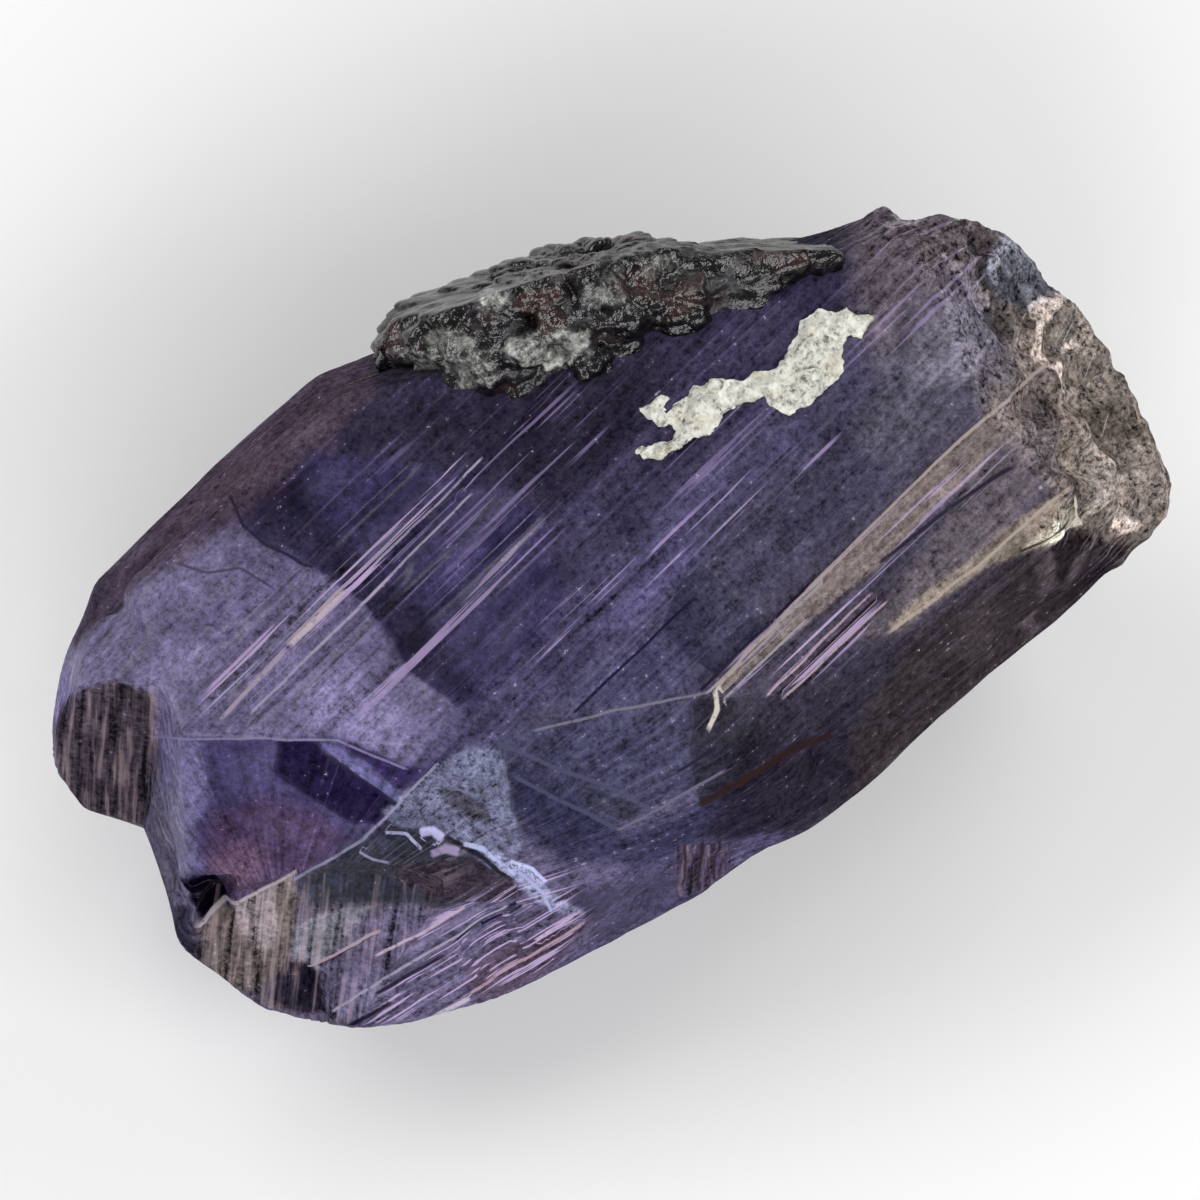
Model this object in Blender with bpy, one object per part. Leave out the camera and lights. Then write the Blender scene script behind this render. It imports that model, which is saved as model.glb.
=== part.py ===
"""Rough tanzanite: a broken prism of blue-violet crystal with a short parallel growth at one end.

A crust of dark graphite-bearing matrix is stuck to its upper back edge, and a thin patch of white
calcite lies on the top. X runs along the prism and its striations, towards the broken brown end.
Y points to the side that carries the matrix. The stone rests on a small flat spot at Z = 0.
Positions in the tables are measured from the foot of the crystal's core. The world origin is under
the middle of the whole specimen, CORE_FOOT away from that foot.
"""

import random
from math import cos, radians, sin, sqrt

import bmesh
import bpy
from mathutils import Matrix, Vector

MM = 0.001

# Driving dimensions, in millimetres
CORE_FOOT = (-0.07, -0.54)
CORE_HEIGHT = 3.3
ROUGH_BLOCK = 40.0
SEAT_GAP = 0.3
SPINDLE_TWIST = 13.0

# Each hollow and chip is turned by this much more than the one before, in radians
GOLDEN_TURN = 2.4

# Faces of the prism: compass turn and rise of each face's normal in degrees, then its distance from
# the core point, which lies CORE_HEIGHT above the core's foot
PRISM_FACES = {
    "top_back": (90, 80, 3.05),
    "top_front": (-90, 85, 3.08),
    "long_ledge": (-92, 66, 3.41),
    "side": (-96.5, 16, 3.70),
    "side_back": (89.5, 28.5, 5.15),
    "matrix_seat": (64, 30, 4.40),
    "slate_bevel": (-122.5, 46.5, 3.71),
    "lower_front": (-108, 13, 3.69),
    "cleaved_left": (-146, 39, 4.37),
    "shell_fan": (-142, 36.5, 4.26),
    "striated_front": (-123.5, 26.5, 3.80),
    "ribbed_skin": (-142.5, 35, 4.32),
    "grey_strip": (152, 12, 6.98),
    "left_corner": (-172, 14, 7.05),
    "upper_left_chip": (122, 20, 7.00),
    "broken_end": (-25.5, 41, 6.30),
    "broken_end_top": (-17.5, 36, 6.84),
    "broken_end_back": (50, 30, 5.41),
    "broken_end_low": (-74, 24, 5.42),
}

# Faces of the underside, which the stone's keel rests on
UNDER_FACES = {
    "rest": (0, -90, 3.30),
    "keel_left": (180, -80, 3.77),
    "keel_right": (0, -78, 3.77),
    "keel_front": (-95, -72, 3.66),
    "keel_back": (88, -74, 3.61),
    "under_left_front": (-139, -40, 5.39),
    "under_front_left": (-117, -36, 4.46),
    "under_front": (-106, -36, 3.90),
    "under_side": (-93.5, -36, 3.67),
    "under_end_front": (-72, -30, 5.54),
    "under_end": (-14, -40, 6.12),
    "under_end_back": (8.5, -30, 5.96),
    "under_seat": (46, -20, 4.30),
    "under_back_right": (50, -55, 4.00),
    "under_back": (87, -40, 3.61),
    "under_left": (165, -30, 6.87),
}

# Faces of the short parallel growth at the left end, from the same core point
GROWTH_FACES = {
    "top_back": (90, 80, 3.05),
    "top_front": (-90, 84, 3.00),
    "cleaved_left": (-146, 39, 4.37),
    "ribbed_face": (-145.5, 18.5, 3.47),
    "side_back": (89.5, 28.5, 5.15),
    "pale_slope": (96.5, 43, 5.04),
    "pale_tip": (122, 12, 7.33),
    "tip": (140, 4, 8.16),
    "tip_low": (170, -6, 7.82),
    "foot": (-151, -12, 4.71),
    "foot_under": (160, -45, 6.44),
    "under_back": (87, -40, 3.61),
    "rest": (0, -90, 3.30),
    "inside_right": (20, 0, 0.50),
    "inside_front": (-100, 0, 1.60),
}

# Raised striae along X on the top: face, middle X and Y, length, width and height
RIDGES = (
    ("top_back", -3.3, 2.45, 3.8, 0.24, 0.10),
    ("top_back", -2.9, 1.75, 3.0, 0.18, 0.08),
    ("top_back", 1.6, 1.10, 5.2, 0.20, 0.08),
    ("top_front", 1.6, -0.45, 6.2, 0.34, 0.10),
    ("top_front", 2.4, -1.20, 5.0, 0.24, 0.08),
    ("top_front", 2.6, -1.95, 5.4, 0.26, 0.10),
    ("long_ledge", 2.6, -2.55, 4.6, 0.22, 0.08),
    ("side", 2.6, -3.72, 4.0, 0.26, 0.08),
)

# Furrows along X between the ridges: face, middle X and Y, length, width and depth
FURROWS = (
    ("top_back", -2.4, 3.25, 4.2, 0.34, 0.16),
    ("top_back", -3.7, 2.10, 3.4, 0.28, 0.16),
    ("top_back", -0.4, 1.42, 5.0, 0.30, 0.15),
    ("top_back", 2.4, 0.55, 5.4, 0.30, 0.14),
    ("top_front", 0.4, -0.85, 6.2, 0.34, 0.16),
    ("top_front", 2.9, -1.58, 6.4, 0.32, 0.16),
    ("long_ledge", 2.4, -2.25, 6.6, 0.26, 0.16),
    ("long_ledge", 3.6, -2.88, 5.0, 0.28, 0.15),
    ("side", 1.6, -3.95, 4.6, 0.38, 0.16),
    ("side_back", -2.2, 5.00, 5.0, 0.38, 0.16),
    ("under_side", 1.0, -3.60, 6.0, 0.40, 0.16),
    ("under_back", -0.6, 3.90, 7.0, 0.42, 0.18),
    ("keel_front", 0.0, -2.10, 6.5, 0.34, 0.14),
)

# Conchoidal hollows: face, X and Y of the middle, radius and depth
SHELL_HOLLOWS = (
    ("top_back", -1.75, 2.55, 1.70, 0.22),
    ("top_front", 0.55, -1.10, 0.80, 0.09),
    ("cleaved_left", -5.35, 0.85, 1.10, 0.18),
    ("shell_fan", -4.05, -0.95, 0.72, 0.18),
    ("striated_front", -4.60, -2.20, 0.66, 0.13),
    ("slate_bevel", -1.90, -2.10, 0.90, 0.11),
    ("lower_front", -1.10, -3.75, 0.75, 0.13),
    ("side", 4.10, -4.25, 0.75, 0.13),
    ("broken_end", 6.90, -1.10, 0.85, 0.18),
    ("broken_end_back", 7.00, 0.55, 0.50, 0.14),
    ("grey_strip", -7.05, 1.95, 0.45, 0.12),
    ("under_side", 0.60, -3.20, 1.10, 0.18),
    ("under_back", -2.60, 3.20, 1.40, 0.22),
    ("under_end", 5.70, -1.80, 1.10, 0.20),
    ("under_left_front", -5.30, -0.90, 1.00, 0.18),
    ("under_left", -6.50, 1.60, 0.80, 0.16),
)

# Angular chips broken out of the stone: face, X and Y of the middle, radius and depth
CHIPS = (
    ("top_back", -4.49, 3.42, 0.40, 0.16),
    ("cleaved_left", -7.02, 1.05, 0.62, 0.40),
    ("ribbed_skin", -6.95, -0.62, 0.66, 0.26),
    ("upper_left_chip", -5.20, 5.00, 0.55, 0.22),
    ("broken_end", 6.35, -2.45, 0.80, 0.24),
    ("broken_end", 7.15, -2.55, 0.75, 0.26),
    ("broken_end", 6.10, -3.35, 0.60, 0.20),
    ("broken_end", 6.85, -3.30, 0.62, 0.24),
    ("broken_end", 7.15, -1.85, 0.55, 0.20),
    ("broken_end_top", 7.25, -0.10, 0.50, 0.26),
    ("broken_end_back", 6.95, 0.75, 0.42, 0.16),
    ("broken_end_low", 6.60, -3.95, 0.60, 0.20),
    ("broken_end_low", 5.60, -4.05, 0.50, 0.16),
    ("side", 0.60, -3.70, 0.50, 0.18),
    ("lower_front", -2.35, -3.35, 0.55, 0.18),
    ("left_corner", -7.45, 1.20, 0.50, 0.20),
    ("under_side", 3.60, -3.20, 1.00, 0.22),
    ("under_end_back", 6.40, -1.20, 0.90, 0.24),
    ("under_back_right", 2.60, 2.00, 1.00, 0.20),
    ("keel_left", -4.20, 0.30, 1.00, 0.18),
    ("keel_right", 3.60, -0.30, 0.90, 0.16),
)

# Ribs that run down the ribbed faces: face, X and Y of the first and last rib's middle, number
# of grooves, then length, width and depth of each
RIB_SETS = (
    (GROWTH_FACES, "ribbed_face", (-6.90, 4.00), (-6.42, 3.32), 5, 2.4, 0.13, 0.13),
    (PRISM_FACES, "ribbed_skin", (-7.10, 0.62), (-6.55, 0.00), 5, 1.5, 0.14, 0.13),
)

# Matrix block: a point on the seat, then its faces measured from there
MATRIX_MIDDLE = (3.0, 3.6, 4.3)
MATRIX_FACES = {
    "outer": (64, 22, 0.52),
    "outer_right": (44, 20, 0.76),
    "outer_left": (92, 22, 1.50),
    "left": (118, 10, 2.50),
    "end_left": (170, 20, 2.90),
    "end_right": (-8, 20, 3.30),
    "top": (70, 78, 1.80),
    "top_left": (130, 60, 2.45),
    "inner": (-118, 38, 2.20),
    "inner_left": (-150, 35, 2.70),
    "under": (64, -42, 1.05),
    "under_left": (110, -40, 1.95),
    "under_right": (30, -35, 1.15),
    "buried": (-116, -50, 1.40),
}
# Grains of the matrix: the middles of each row's first and last grain, number and mean radius
GRAIN_ROWS = (
    ((0.50, 4.35, 6.05), (1.60, 3.10, 6.25), 5, 0.40),
    ((1.60, 2.95, 6.25), (5.30, 1.30, 6.50), 12, 0.38),
    ((0.55, 4.90, 5.70), (5.60, 1.75, 6.20), 15, 0.46),
    ((1.00, 5.15, 5.10), (5.80, 1.95, 5.65), 15, 0.48),
    ((1.60, 5.20, 4.50), (5.70, 2.20, 5.05), 13, 0.48),
    ((1.90, 4.95, 3.90), (5.40, 2.45, 4.45), 11, 0.48),
    ((2.30, 4.45, 3.35), (4.90, 2.60, 3.85), 8, 0.44),
)
CALCITE_GRAINS = (
    (1.75, 3.05, 6.30, 0.42),
    (2.25, 2.85, 6.34, 0.36),
    (0.45, 4.25, 6.08, 0.38),
    (1.35, 4.05, 6.22, 0.30),
)

# White patch on the top: X, Y, radius and height of each crust lump along it
PATCH_LUMPS = (
    (1.62, 0.95, 0.24, 0.22),
    (1.95, 1.22, 0.28, 0.24),
    (2.10, 0.80, 0.34, 0.30),
    (2.50, 0.78, 0.40, 0.32),
    (2.92, 0.52, 0.38, 0.30),
    (3.30, 0.22, 0.42, 0.34),
    (3.72, 0.08, 0.52, 0.40),
    (4.12, 0.18, 0.50, 0.38),
    (4.55, 0.18, 0.42, 0.32),
    (4.95, 0.10, 0.28, 0.24),
    (5.22, 0.02, 0.18, 0.16),
)


def clear_scene():
    for obj in list(bpy.data.objects):
        bpy.data.objects.remove(obj, do_unlink=True)


def make_collection(name, hidden=False):
    collection = bpy.data.collections.new(name)
    collection.hide_render = hidden
    bpy.context.scene.collection.children.link(collection)
    return collection


def make_material(name, color, roughness, transmission=0.0, ior=1.5):
    material = bpy.data.materials.new(name)
    material.use_nodes = True
    shader = material.node_tree.nodes["Principled BSDF"]
    shader.inputs["Base Color"].default_value = (*color, 1.0)
    shader.inputs["Roughness"].default_value = roughness
    shader.inputs["Transmission Weight"].default_value = transmission
    shader.inputs["IOR"].default_value = ior
    material.diffuse_color = (*color, 1.0)
    return material


def mesh_object(name, bm, collection, material=None, cutter=False):
    """Turns a bmesh into an object of the collection."""
    bmesh.ops.triangulate(bm, faces=bm.faces)
    bmesh.ops.recalc_face_normals(bm, faces=bm.faces)
    mesh = bpy.data.meshes.new(name)
    bm.to_mesh(mesh)
    bm.free()
    if material:
        mesh.materials.append(material)
    obj = bpy.data.objects.new(name, mesh)
    obj.location = (CORE_FOOT[0] * MM, CORE_FOOT[1] * MM, 0.0)
    collection.objects.link(obj)
    if cutter:
        obj.hide_render = True
        obj.display_type = "WIRE"
    return obj


def direction(turn, rise):
    """Unit vector at a compass turn from X towards Y, tilted up by rise."""
    t = radians(turn)
    r = radians(rise)
    return Vector((cos(t) * cos(r), sin(t) * cos(r), sin(r)))


def core_point():
    return Vector((0.0, 0.0, CORE_HEIGHT))


def faceted_block(middle, faces, spare=0.0):
    """A block cut flat by each face in turn, every face pushed out by spare."""
    bm = bmesh.new()
    bmesh.ops.create_cube(bm, size=ROUGH_BLOCK * MM, matrix=Matrix.Translation(middle * MM))
    for turn, rise, reach in faces.values():
        normal = direction(turn, rise)
        cut = bmesh.ops.bisect_plane(
            bm,
            geom=bm.verts[:] + bm.edges[:] + bm.faces[:],
            dist=1e-8,
            plane_co=(middle + normal * (reach + spare)) * MM,
            plane_no=normal,
            clear_outer=True,
        )
        rim = [item for item in cut["geom_cut"] if isinstance(item, bmesh.types.BMEdge)]
        if rim:
            bmesh.ops.contextual_create(bm, geom=rim)
    bmesh.ops.remove_doubles(bm, verts=bm.verts, dist=0.002 * MM)
    return bm


def point_on_face(faces, name, x, y):
    """The point above X and Y on a face of the crystal, and the face's normal."""
    turn, rise, reach = faces[name]
    normal = direction(turn, rise)
    z = CORE_HEIGHT + (reach - normal.x * x - normal.y * y) / normal.z
    return Vector((x, y, z)), normal


def frame_on(point, normal, along):
    """Matrix whose Z is the normal and whose X follows the given direction on the face."""
    side = normal.cross(along).normalized()
    forward = side.cross(normal).normalized()
    turn = Matrix((forward, side, normal)).transposed().to_4x4()
    return Matrix.Translation(point * MM) @ turn


def spindle(name, place, length, width, thickness, collection):
    """A long thin spindle on a face, pointed at both ends."""
    bm = bmesh.new()
    stretch = Matrix.Diagonal((width / 2 * MM, thickness * MM, length / 2 * MM, 1.0))
    lay_down = Matrix.Rotation(radians(90), 4, "Y") @ Matrix.Rotation(radians(90), 4, "Z")
    twist = Matrix.Rotation(radians(SPINDLE_TWIST), 4, "X")
    bmesh.ops.create_uvsphere(
        bm, u_segments=6, v_segments=6, radius=1.0, matrix=place @ twist @ lay_down @ stretch
    )
    return mesh_object(name, bm, collection, cutter=True)


def shell_cut(name, point, normal, radius, depth, turn, lean, collection):
    """A leaning flat ellipsoid that leaves an oval dish of about this radius and depth."""
    bm = bmesh.new()
    place = frame_on(point + normal * depth, normal, Vector((cos(turn), sin(turn), 0.1)))
    wide = radius * 2 / sqrt(3)
    stretch = Matrix.Diagonal((1.3 * wide * MM, 0.8 * wide * MM, 2 * depth * MM, 1.0))
    tilt = Matrix.Rotation(lean, 4, "Y")
    bmesh.ops.create_uvsphere(
        bm, u_segments=16, v_segments=10, radius=1.0, matrix=place @ tilt @ stretch
    )
    return mesh_object(name, bm, collection, cutter=True)


def chip_cut(name, point, normal, radius, depth, turn, collection):
    """A squeezed twenty-sided block that leaves an angular chip in the face."""
    bm = bmesh.new()
    thick = 0.62 * radius
    place = frame_on(point + normal * (thick - depth), normal, Vector((cos(turn), sin(turn), 0.1)))
    stretch = Matrix.Diagonal((1.2 * radius * MM, 0.85 * radius * MM, thick * MM, 1.0))
    roll = Matrix.Rotation(turn, 4, (0.6, 0.5, 0.62))
    bmesh.ops.create_icosphere(
        bm, subdivisions=1, radius=1.0, matrix=place @ stretch @ roll
    )
    return mesh_object(name, bm, collection, cutter=True)


def add_boolean(obj, operation, operand):
    name = f"{operation.title()} {operand.name}"
    modifier = obj.modifiers.new(name, "BOOLEAN")
    modifier.operation = operation
    modifier.solver = "MANIFOLD"
    if isinstance(operand, bpy.types.Collection):
        modifier.operand_type = "COLLECTION"
        modifier.collection = operand
    else:
        modifier.object = operand
    return modifier


def rough_lump(bm, point, radius, flat, dice, detail=1):
    """A small angular grain: a coarse ball squeezed and pushed about by the dice."""
    turn = Matrix.Rotation(dice.uniform(0, 6.28), 4, (dice.random(), dice.random(), 1.0))
    size = Vector((radius, radius * dice.uniform(0.75, 1.1), radius * flat))
    place = Matrix.Translation(Vector(point) * MM) @ Matrix.Diagonal((*(size * MM), 1.0)) @ turn
    made = bmesh.ops.create_icosphere(bm, subdivisions=detail, radius=1.0, matrix=place)
    for vert in made["verts"]:
        vert.co += (vert.co - Vector(point) * MM) * dice.uniform(-0.16, 0.10)


def make_crystal(parts, helpers, material):
    """The prism joined to its parallel growth, with ridges, furrows, hollows and ribs."""
    faces = {**PRISM_FACES, **UNDER_FACES}
    crystal = mesh_object(
        "tanzanite_crystal", faceted_block(core_point(), faces), parts, material
    )
    growth = mesh_object(
        "parallel_growth", faceted_block(core_point(), GROWTH_FACES), helpers, cutter=True
    )
    add_boolean(crystal, "UNION", growth)

    raised = bpy.data.collections.new("Raised striae")
    helpers.children.link(raised)
    for index, (face, x, y, length, width, height) in enumerate(RIDGES):
        point, normal = point_on_face(faces, face, x, y)
        place = frame_on(point, normal, Vector((1.0, 0.0, 0.0)))
        spindle(f"ridge_{index}", place, length, width, height, raised)
    add_boolean(crystal, "UNION", raised)

    furrows = bpy.data.collections.new("Furrows and ribs")
    helpers.children.link(furrows)
    for index, (face, x, y, length, width, depth) in enumerate(FURROWS):
        point, normal = point_on_face(faces, face, x, y)
        place = frame_on(point, normal, Vector((1.0, 0.0, 0.0)))
        spindle(f"furrow_{index}", place, length, width, depth, furrows)
    for number, rib_set in enumerate(RIB_SETS):
        ribbed, face, first, last, count, length, width, depth = rib_set
        for index in range(count):
            along = index / (count - 1)
            x = first[0] + (last[0] - first[0]) * along
            y = first[1] + (last[1] - first[1]) * along
            point, normal = point_on_face(ribbed, face, x, y)
            down = Vector((normal.x, normal.y, -1.0))
            place = frame_on(point, normal, down)
            spindle(f"rib_{number}_{index}", place, length, width, depth, furrows)
    add_boolean(crystal, "DIFFERENCE", furrows)
    for index, (face, x, y, radius, depth) in enumerate(SHELL_HOLLOWS):
        point, normal = point_on_face(faces, face, x, y)
        turn = index * GOLDEN_TURN
        lean = radians(5 + 3 * (index % 3))
        dish = shell_cut(f"hollow_{index}", point, normal, radius, depth, turn, lean, helpers)
        add_boolean(crystal, "DIFFERENCE", dish)
    for index, (face, x, y, radius, depth) in enumerate(CHIPS):
        point, normal = point_on_face(faces, face, x, y)
        turn = index * GOLDEN_TURN
        chip = chip_cut(f"chip_{index}", point, normal, radius, depth, turn, helpers)
        add_boolean(crystal, "DIFFERENCE", chip)
    return crystal


def make_clearance(helpers):
    """The crystal's outline pushed out by the gap, which trims what sits on the crystal."""
    faces = {**PRISM_FACES, **UNDER_FACES}
    block = faceted_block(core_point(), faces, spare=SEAT_GAP)
    return mesh_object("crystal_clearance", block, helpers, cutter=True)


def make_matrix(parts, helpers, clearance, material):
    """Angular grains on a block that laps over the seat face and the top's edge."""
    dice = random.Random(13)
    middle = Vector(MATRIX_MIDDLE)
    matrix = mesh_object(
        "graphite_matrix", faceted_block(middle, MATRIX_FACES), parts, material
    )
    grains = bpy.data.collections.new("Matrix grains")
    helpers.children.link(grains)
    for row, (first, last, count, radius) in enumerate(GRAIN_ROWS):
        for index in range(count):
            point = Vector(first).lerp(Vector(last), index / (count - 1))
            point += Vector([dice.uniform(-0.16, 0.16) for _ in range(3)])
            bm = bmesh.new()
            rough_lump(bm, point, radius * dice.uniform(0.8, 1.2), dice.uniform(0.7, 1.0), dice)
            mesh_object(f"grain_{row}_{index}", bm, grains, cutter=True)
    for index, (x, y, z, radius) in enumerate(CALCITE_GRAINS):
        bm = bmesh.new()
        rough_lump(bm, (x, y, z), radius, 0.75, dice, detail=2)
        mesh_object(f"calcite_grain_{index}", bm, grains, cutter=True)
    add_boolean(matrix, "UNION", grains)
    add_boolean(matrix, "DIFFERENCE", clearance)
    return matrix


def make_patch(parts, helpers, clearance, material):
    """Overlapping crust lumps along the white patch, flat where they face the crystal."""
    dice = random.Random(5)
    faces = PRISM_FACES
    lumps = []
    for index, (x, y, radius, height) in enumerate(PATCH_LUMPS):
        point = min(
            (point_on_face(faces, face, x, y)[0] for face in ("top_back", "top_front")),
            key=lambda spot: spot.z,
        )
        point.z += SEAT_GAP - 0.02
        bm = bmesh.new()
        rough_lump(bm, point, radius * 1.15, height / radius, dice, detail=2)
        lumps.append((f"patch_lump_{index}", bm))
    first_name, first = lumps[0]
    patch = mesh_object("calcite_patch", first, parts, material)
    others = bpy.data.collections.new("Patch lumps")
    helpers.children.link(others)
    for name, bm in lumps[1:]:
        mesh_object(name, bm, others, cutter=True)
    add_boolean(patch, "UNION", others)
    add_boolean(patch, "DIFFERENCE", clearance)
    return patch


def main():
    clear_scene()
    parts = make_collection("Rough tanzanite")
    helpers = make_collection("Cutters", hidden=True)
    violet = make_material("Tanzanite", (0.075, 0.066, 0.140), 0.22, transmission=0.4, ior=1.69)
    dark_rock = make_material("Graphite matrix", (0.035, 0.031, 0.033), 0.55)
    white = make_material("Calcite crust", (0.62, 0.61, 0.56), 0.75)
    make_crystal(parts, helpers, violet)
    clearance = make_clearance(helpers)
    make_matrix(parts, helpers, clearance, dark_rock)
    make_patch(parts, helpers, clearance, white)


if __name__ == "__main__":
    main()
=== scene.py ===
"""Rough tanzanite: the finished crystal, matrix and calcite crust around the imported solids.

Every shape is worked out with numpy as a surface of two parameters. Tables are in millimetres and
are measured from the foot of the crystal's core, CORE_FOOT away from the world's origin.
"""

from math import cos, degrees, radians, sin

import bpy
import numpy as np
from bpy.props import FloatProperty, FloatVectorProperty, PointerProperty
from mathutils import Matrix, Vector


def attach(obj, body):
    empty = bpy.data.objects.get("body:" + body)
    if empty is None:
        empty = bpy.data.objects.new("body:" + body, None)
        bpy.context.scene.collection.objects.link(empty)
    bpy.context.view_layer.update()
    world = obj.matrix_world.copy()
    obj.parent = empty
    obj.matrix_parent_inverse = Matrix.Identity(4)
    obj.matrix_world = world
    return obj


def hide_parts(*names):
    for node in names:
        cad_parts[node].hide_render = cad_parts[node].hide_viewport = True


bl_info = {
    "name": "Rough Tanzanite",
    "version": (1, 0, 0),
    "blender": (4, 5, 0),
    "location": "3D View > Sidebar > Tanzanite",
    "description": "Makes a rough tanzanite crystal with its matrix and calcite crust",
    "category": "Add Mesh",
}

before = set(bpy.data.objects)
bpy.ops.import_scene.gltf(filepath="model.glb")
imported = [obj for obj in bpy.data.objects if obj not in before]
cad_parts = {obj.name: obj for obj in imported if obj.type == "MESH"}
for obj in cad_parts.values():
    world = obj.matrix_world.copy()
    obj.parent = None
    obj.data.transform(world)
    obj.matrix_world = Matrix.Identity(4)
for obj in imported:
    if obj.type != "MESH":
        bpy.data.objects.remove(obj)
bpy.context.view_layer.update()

MM = 0.001

# The photograph's view: compass turn, rise, millimetres in a pixel, the core's place in it, and the
# pixels along its side
PHOTO_TURN = -45.0
PHOTO_RISE = 75.0
PIXEL = 0.0145
PHOTO_CORE = (611.0, 619.0)
PHOTO_SIZE = 1200

# Where the crescent's step fades out and where the broken end begins, in pixels to the right, and
# where the end stops, in pixels to the right and down added up
CRESCENT_END = (470, 530)
END_FROM = (985, 1060)
END_BELOW = (1980, 2060)

# How sharp the edges between faces are
CRISPNESS = 220

# Under the studio light: what a white top sends to the camera, what gloss adds to each colour, and
# how bright the clear crystal looks
TOP_LIGHT = 0.95
GLOSS = 0.005
INSIDE = np.array((0.068, 0.063, 0.098))

# Clear share of the sides that the photograph does not show
SIDE_CLEARNESS = 0.3

# How much lighter and darker the crisp areas are than what lies beside them
CRISP_LIGHT = 1.35
CRISP_DARK = 0.6
LIGHT_AREAS = (
    "light violet", "beige strip", "beige edge", "fan", "fan edge", "pale slab", "front bar",
    "cleaved stripe", "cleaved pale", "lavender stripe", "lavender band", "rib cream", "pale flake",
)
DARK_AREAS = (
    "cleaved dark", "cleaved lobe", "black corner", "dark slate", "dark wedge", "blue-grey patch",
    "end pit", "growth brown", "glass dark", "fan pits", "bevel green", "bevel dark",
)

CORE_FOOT = np.array((-0.07, -0.54, 0.0))
CORE_HEIGHT = 3.3
CORE = np.array((0.0, 0.0, CORE_HEIGHT))

# Faces of the prism: compass turn and rise of each face's normal in degrees, its distance from the
# core, and the colour the face shows on the screen, which is its own colour with painted light and
# shade for the way that face meets the light
PRISM_FACES = {
    "top_back": (90, 80, 3.05, (64, 59, 82)),
    "top_front": (-90, 85, 3.08, (74, 70, 92)),
    "long_ledge": (-92, 66, 3.41, (76, 71, 86)),
    "side": (-96.5, 16, 3.70, (60, 55, 66)),
    "side_back": (89.5, 28.5, 5.15, (84, 77, 104)),
    "matrix_seat": (64, 30, 4.40, (58, 54, 66)),
    "slate_bevel": (-122.5, 46.5, 3.71, (70, 70, 92)),
    "lower_front": (-108, 13, 3.69, (84, 78, 108)),
    "cleaved_left": (-146, 39, 4.37, (82, 70, 106)),
    "shell_fan": (-142, 36.5, 4.26, (84, 82, 106)),
    "striated_front": (-123.5, 26.5, 3.80, (94, 88, 114)),
    "ribbed_skin": (-142.5, 35, 4.32, (88, 80, 92)),
    "grey_strip": (152, 12, 6.98, (104, 98, 126)),
    "left_corner": (-172, 14, 7.05, (104, 98, 124)),
    "upper_left_chip": (122, 20, 7.00, (112, 104, 138)),
    "broken_end": (-25.5, 41, 6.30, (122, 111, 108)),
    "broken_end_top": (-17.5, 36, 6.84, (100, 92, 98)),
    "broken_end_back": (50, 30, 5.41, (84, 78, 92)),
    "broken_end_low": (-74, 24, 5.42, (112, 102, 100)),
}
UNDER_FACES = {
    "rest": (0, -90, 3.30, (70, 64, 86)),
    "keel_left": (180, -80, 3.77, (78, 72, 98)),
    "keel_right": (0, -78, 3.77, (80, 72, 82)),
    "keel_front": (-95, -72, 3.66, (70, 66, 88)),
    "keel_back": (88, -74, 3.61, (66, 62, 84)),
    "under_left_front": (-139, -40, 5.39, (90, 82, 108)),
    "under_front_left": (-117, -36, 4.46, (84, 78, 106)),
    "under_front": (-106, -36, 3.90, (78, 72, 98)),
    "under_side": (-93.5, -36, 3.67, (66, 61, 78)),
    "under_end_front": (-72, -30, 5.54, (92, 84, 86)),
    "under_end": (-14, -40, 6.12, (104, 95, 94)),
    "under_end_back": (8.5, -30, 5.96, (96, 88, 92)),
    "under_seat": (46, -20, 4.30, (64, 60, 74)),
    "under_back_right": (50, -55, 4.00, (68, 63, 78)),
    "under_back": (87, -40, 3.61, (72, 67, 92)),
    "under_left": (165, -30, 6.87, (98, 90, 118)),
}
GROWTH_FACES = {
    "top_back": (90, 80, 3.05, (104, 98, 134)),
    "top_front": (-90, 84, 3.00, (104, 98, 134)),
    "cleaved_left": (-146, 39, 4.37, (108, 100, 138)),
    "ribbed_face": (-145.5, 18.5, 3.47, (76, 67, 72)),
    "side_back": (89.5, 28.5, 5.15, (96, 90, 122)),
    "pale_slope": (96.5, 43, 5.04, (120, 112, 150)),
    "pale_tip": (122, 12, 7.33, (128, 120, 158)),
    "tip": (140, 4, 8.16, (122, 112, 142)),
    "tip_low": (170, -6, 7.82, (84, 75, 82)),
    "foot": (-151, -12, 4.71, (76, 68, 74)),
    "foot_under": (160, -45, 6.44, (82, 75, 94)),
    "under_back": (87, -40, 3.61, (78, 72, 98)),
    "rest": (0, -90, 3.30, (70, 64, 86)),
    "inside_right": (20, 0, 0.50, (76, 67, 72)),
    "inside_front": (-100, 0, 1.60, (76, 67, 72)),
}

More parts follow.
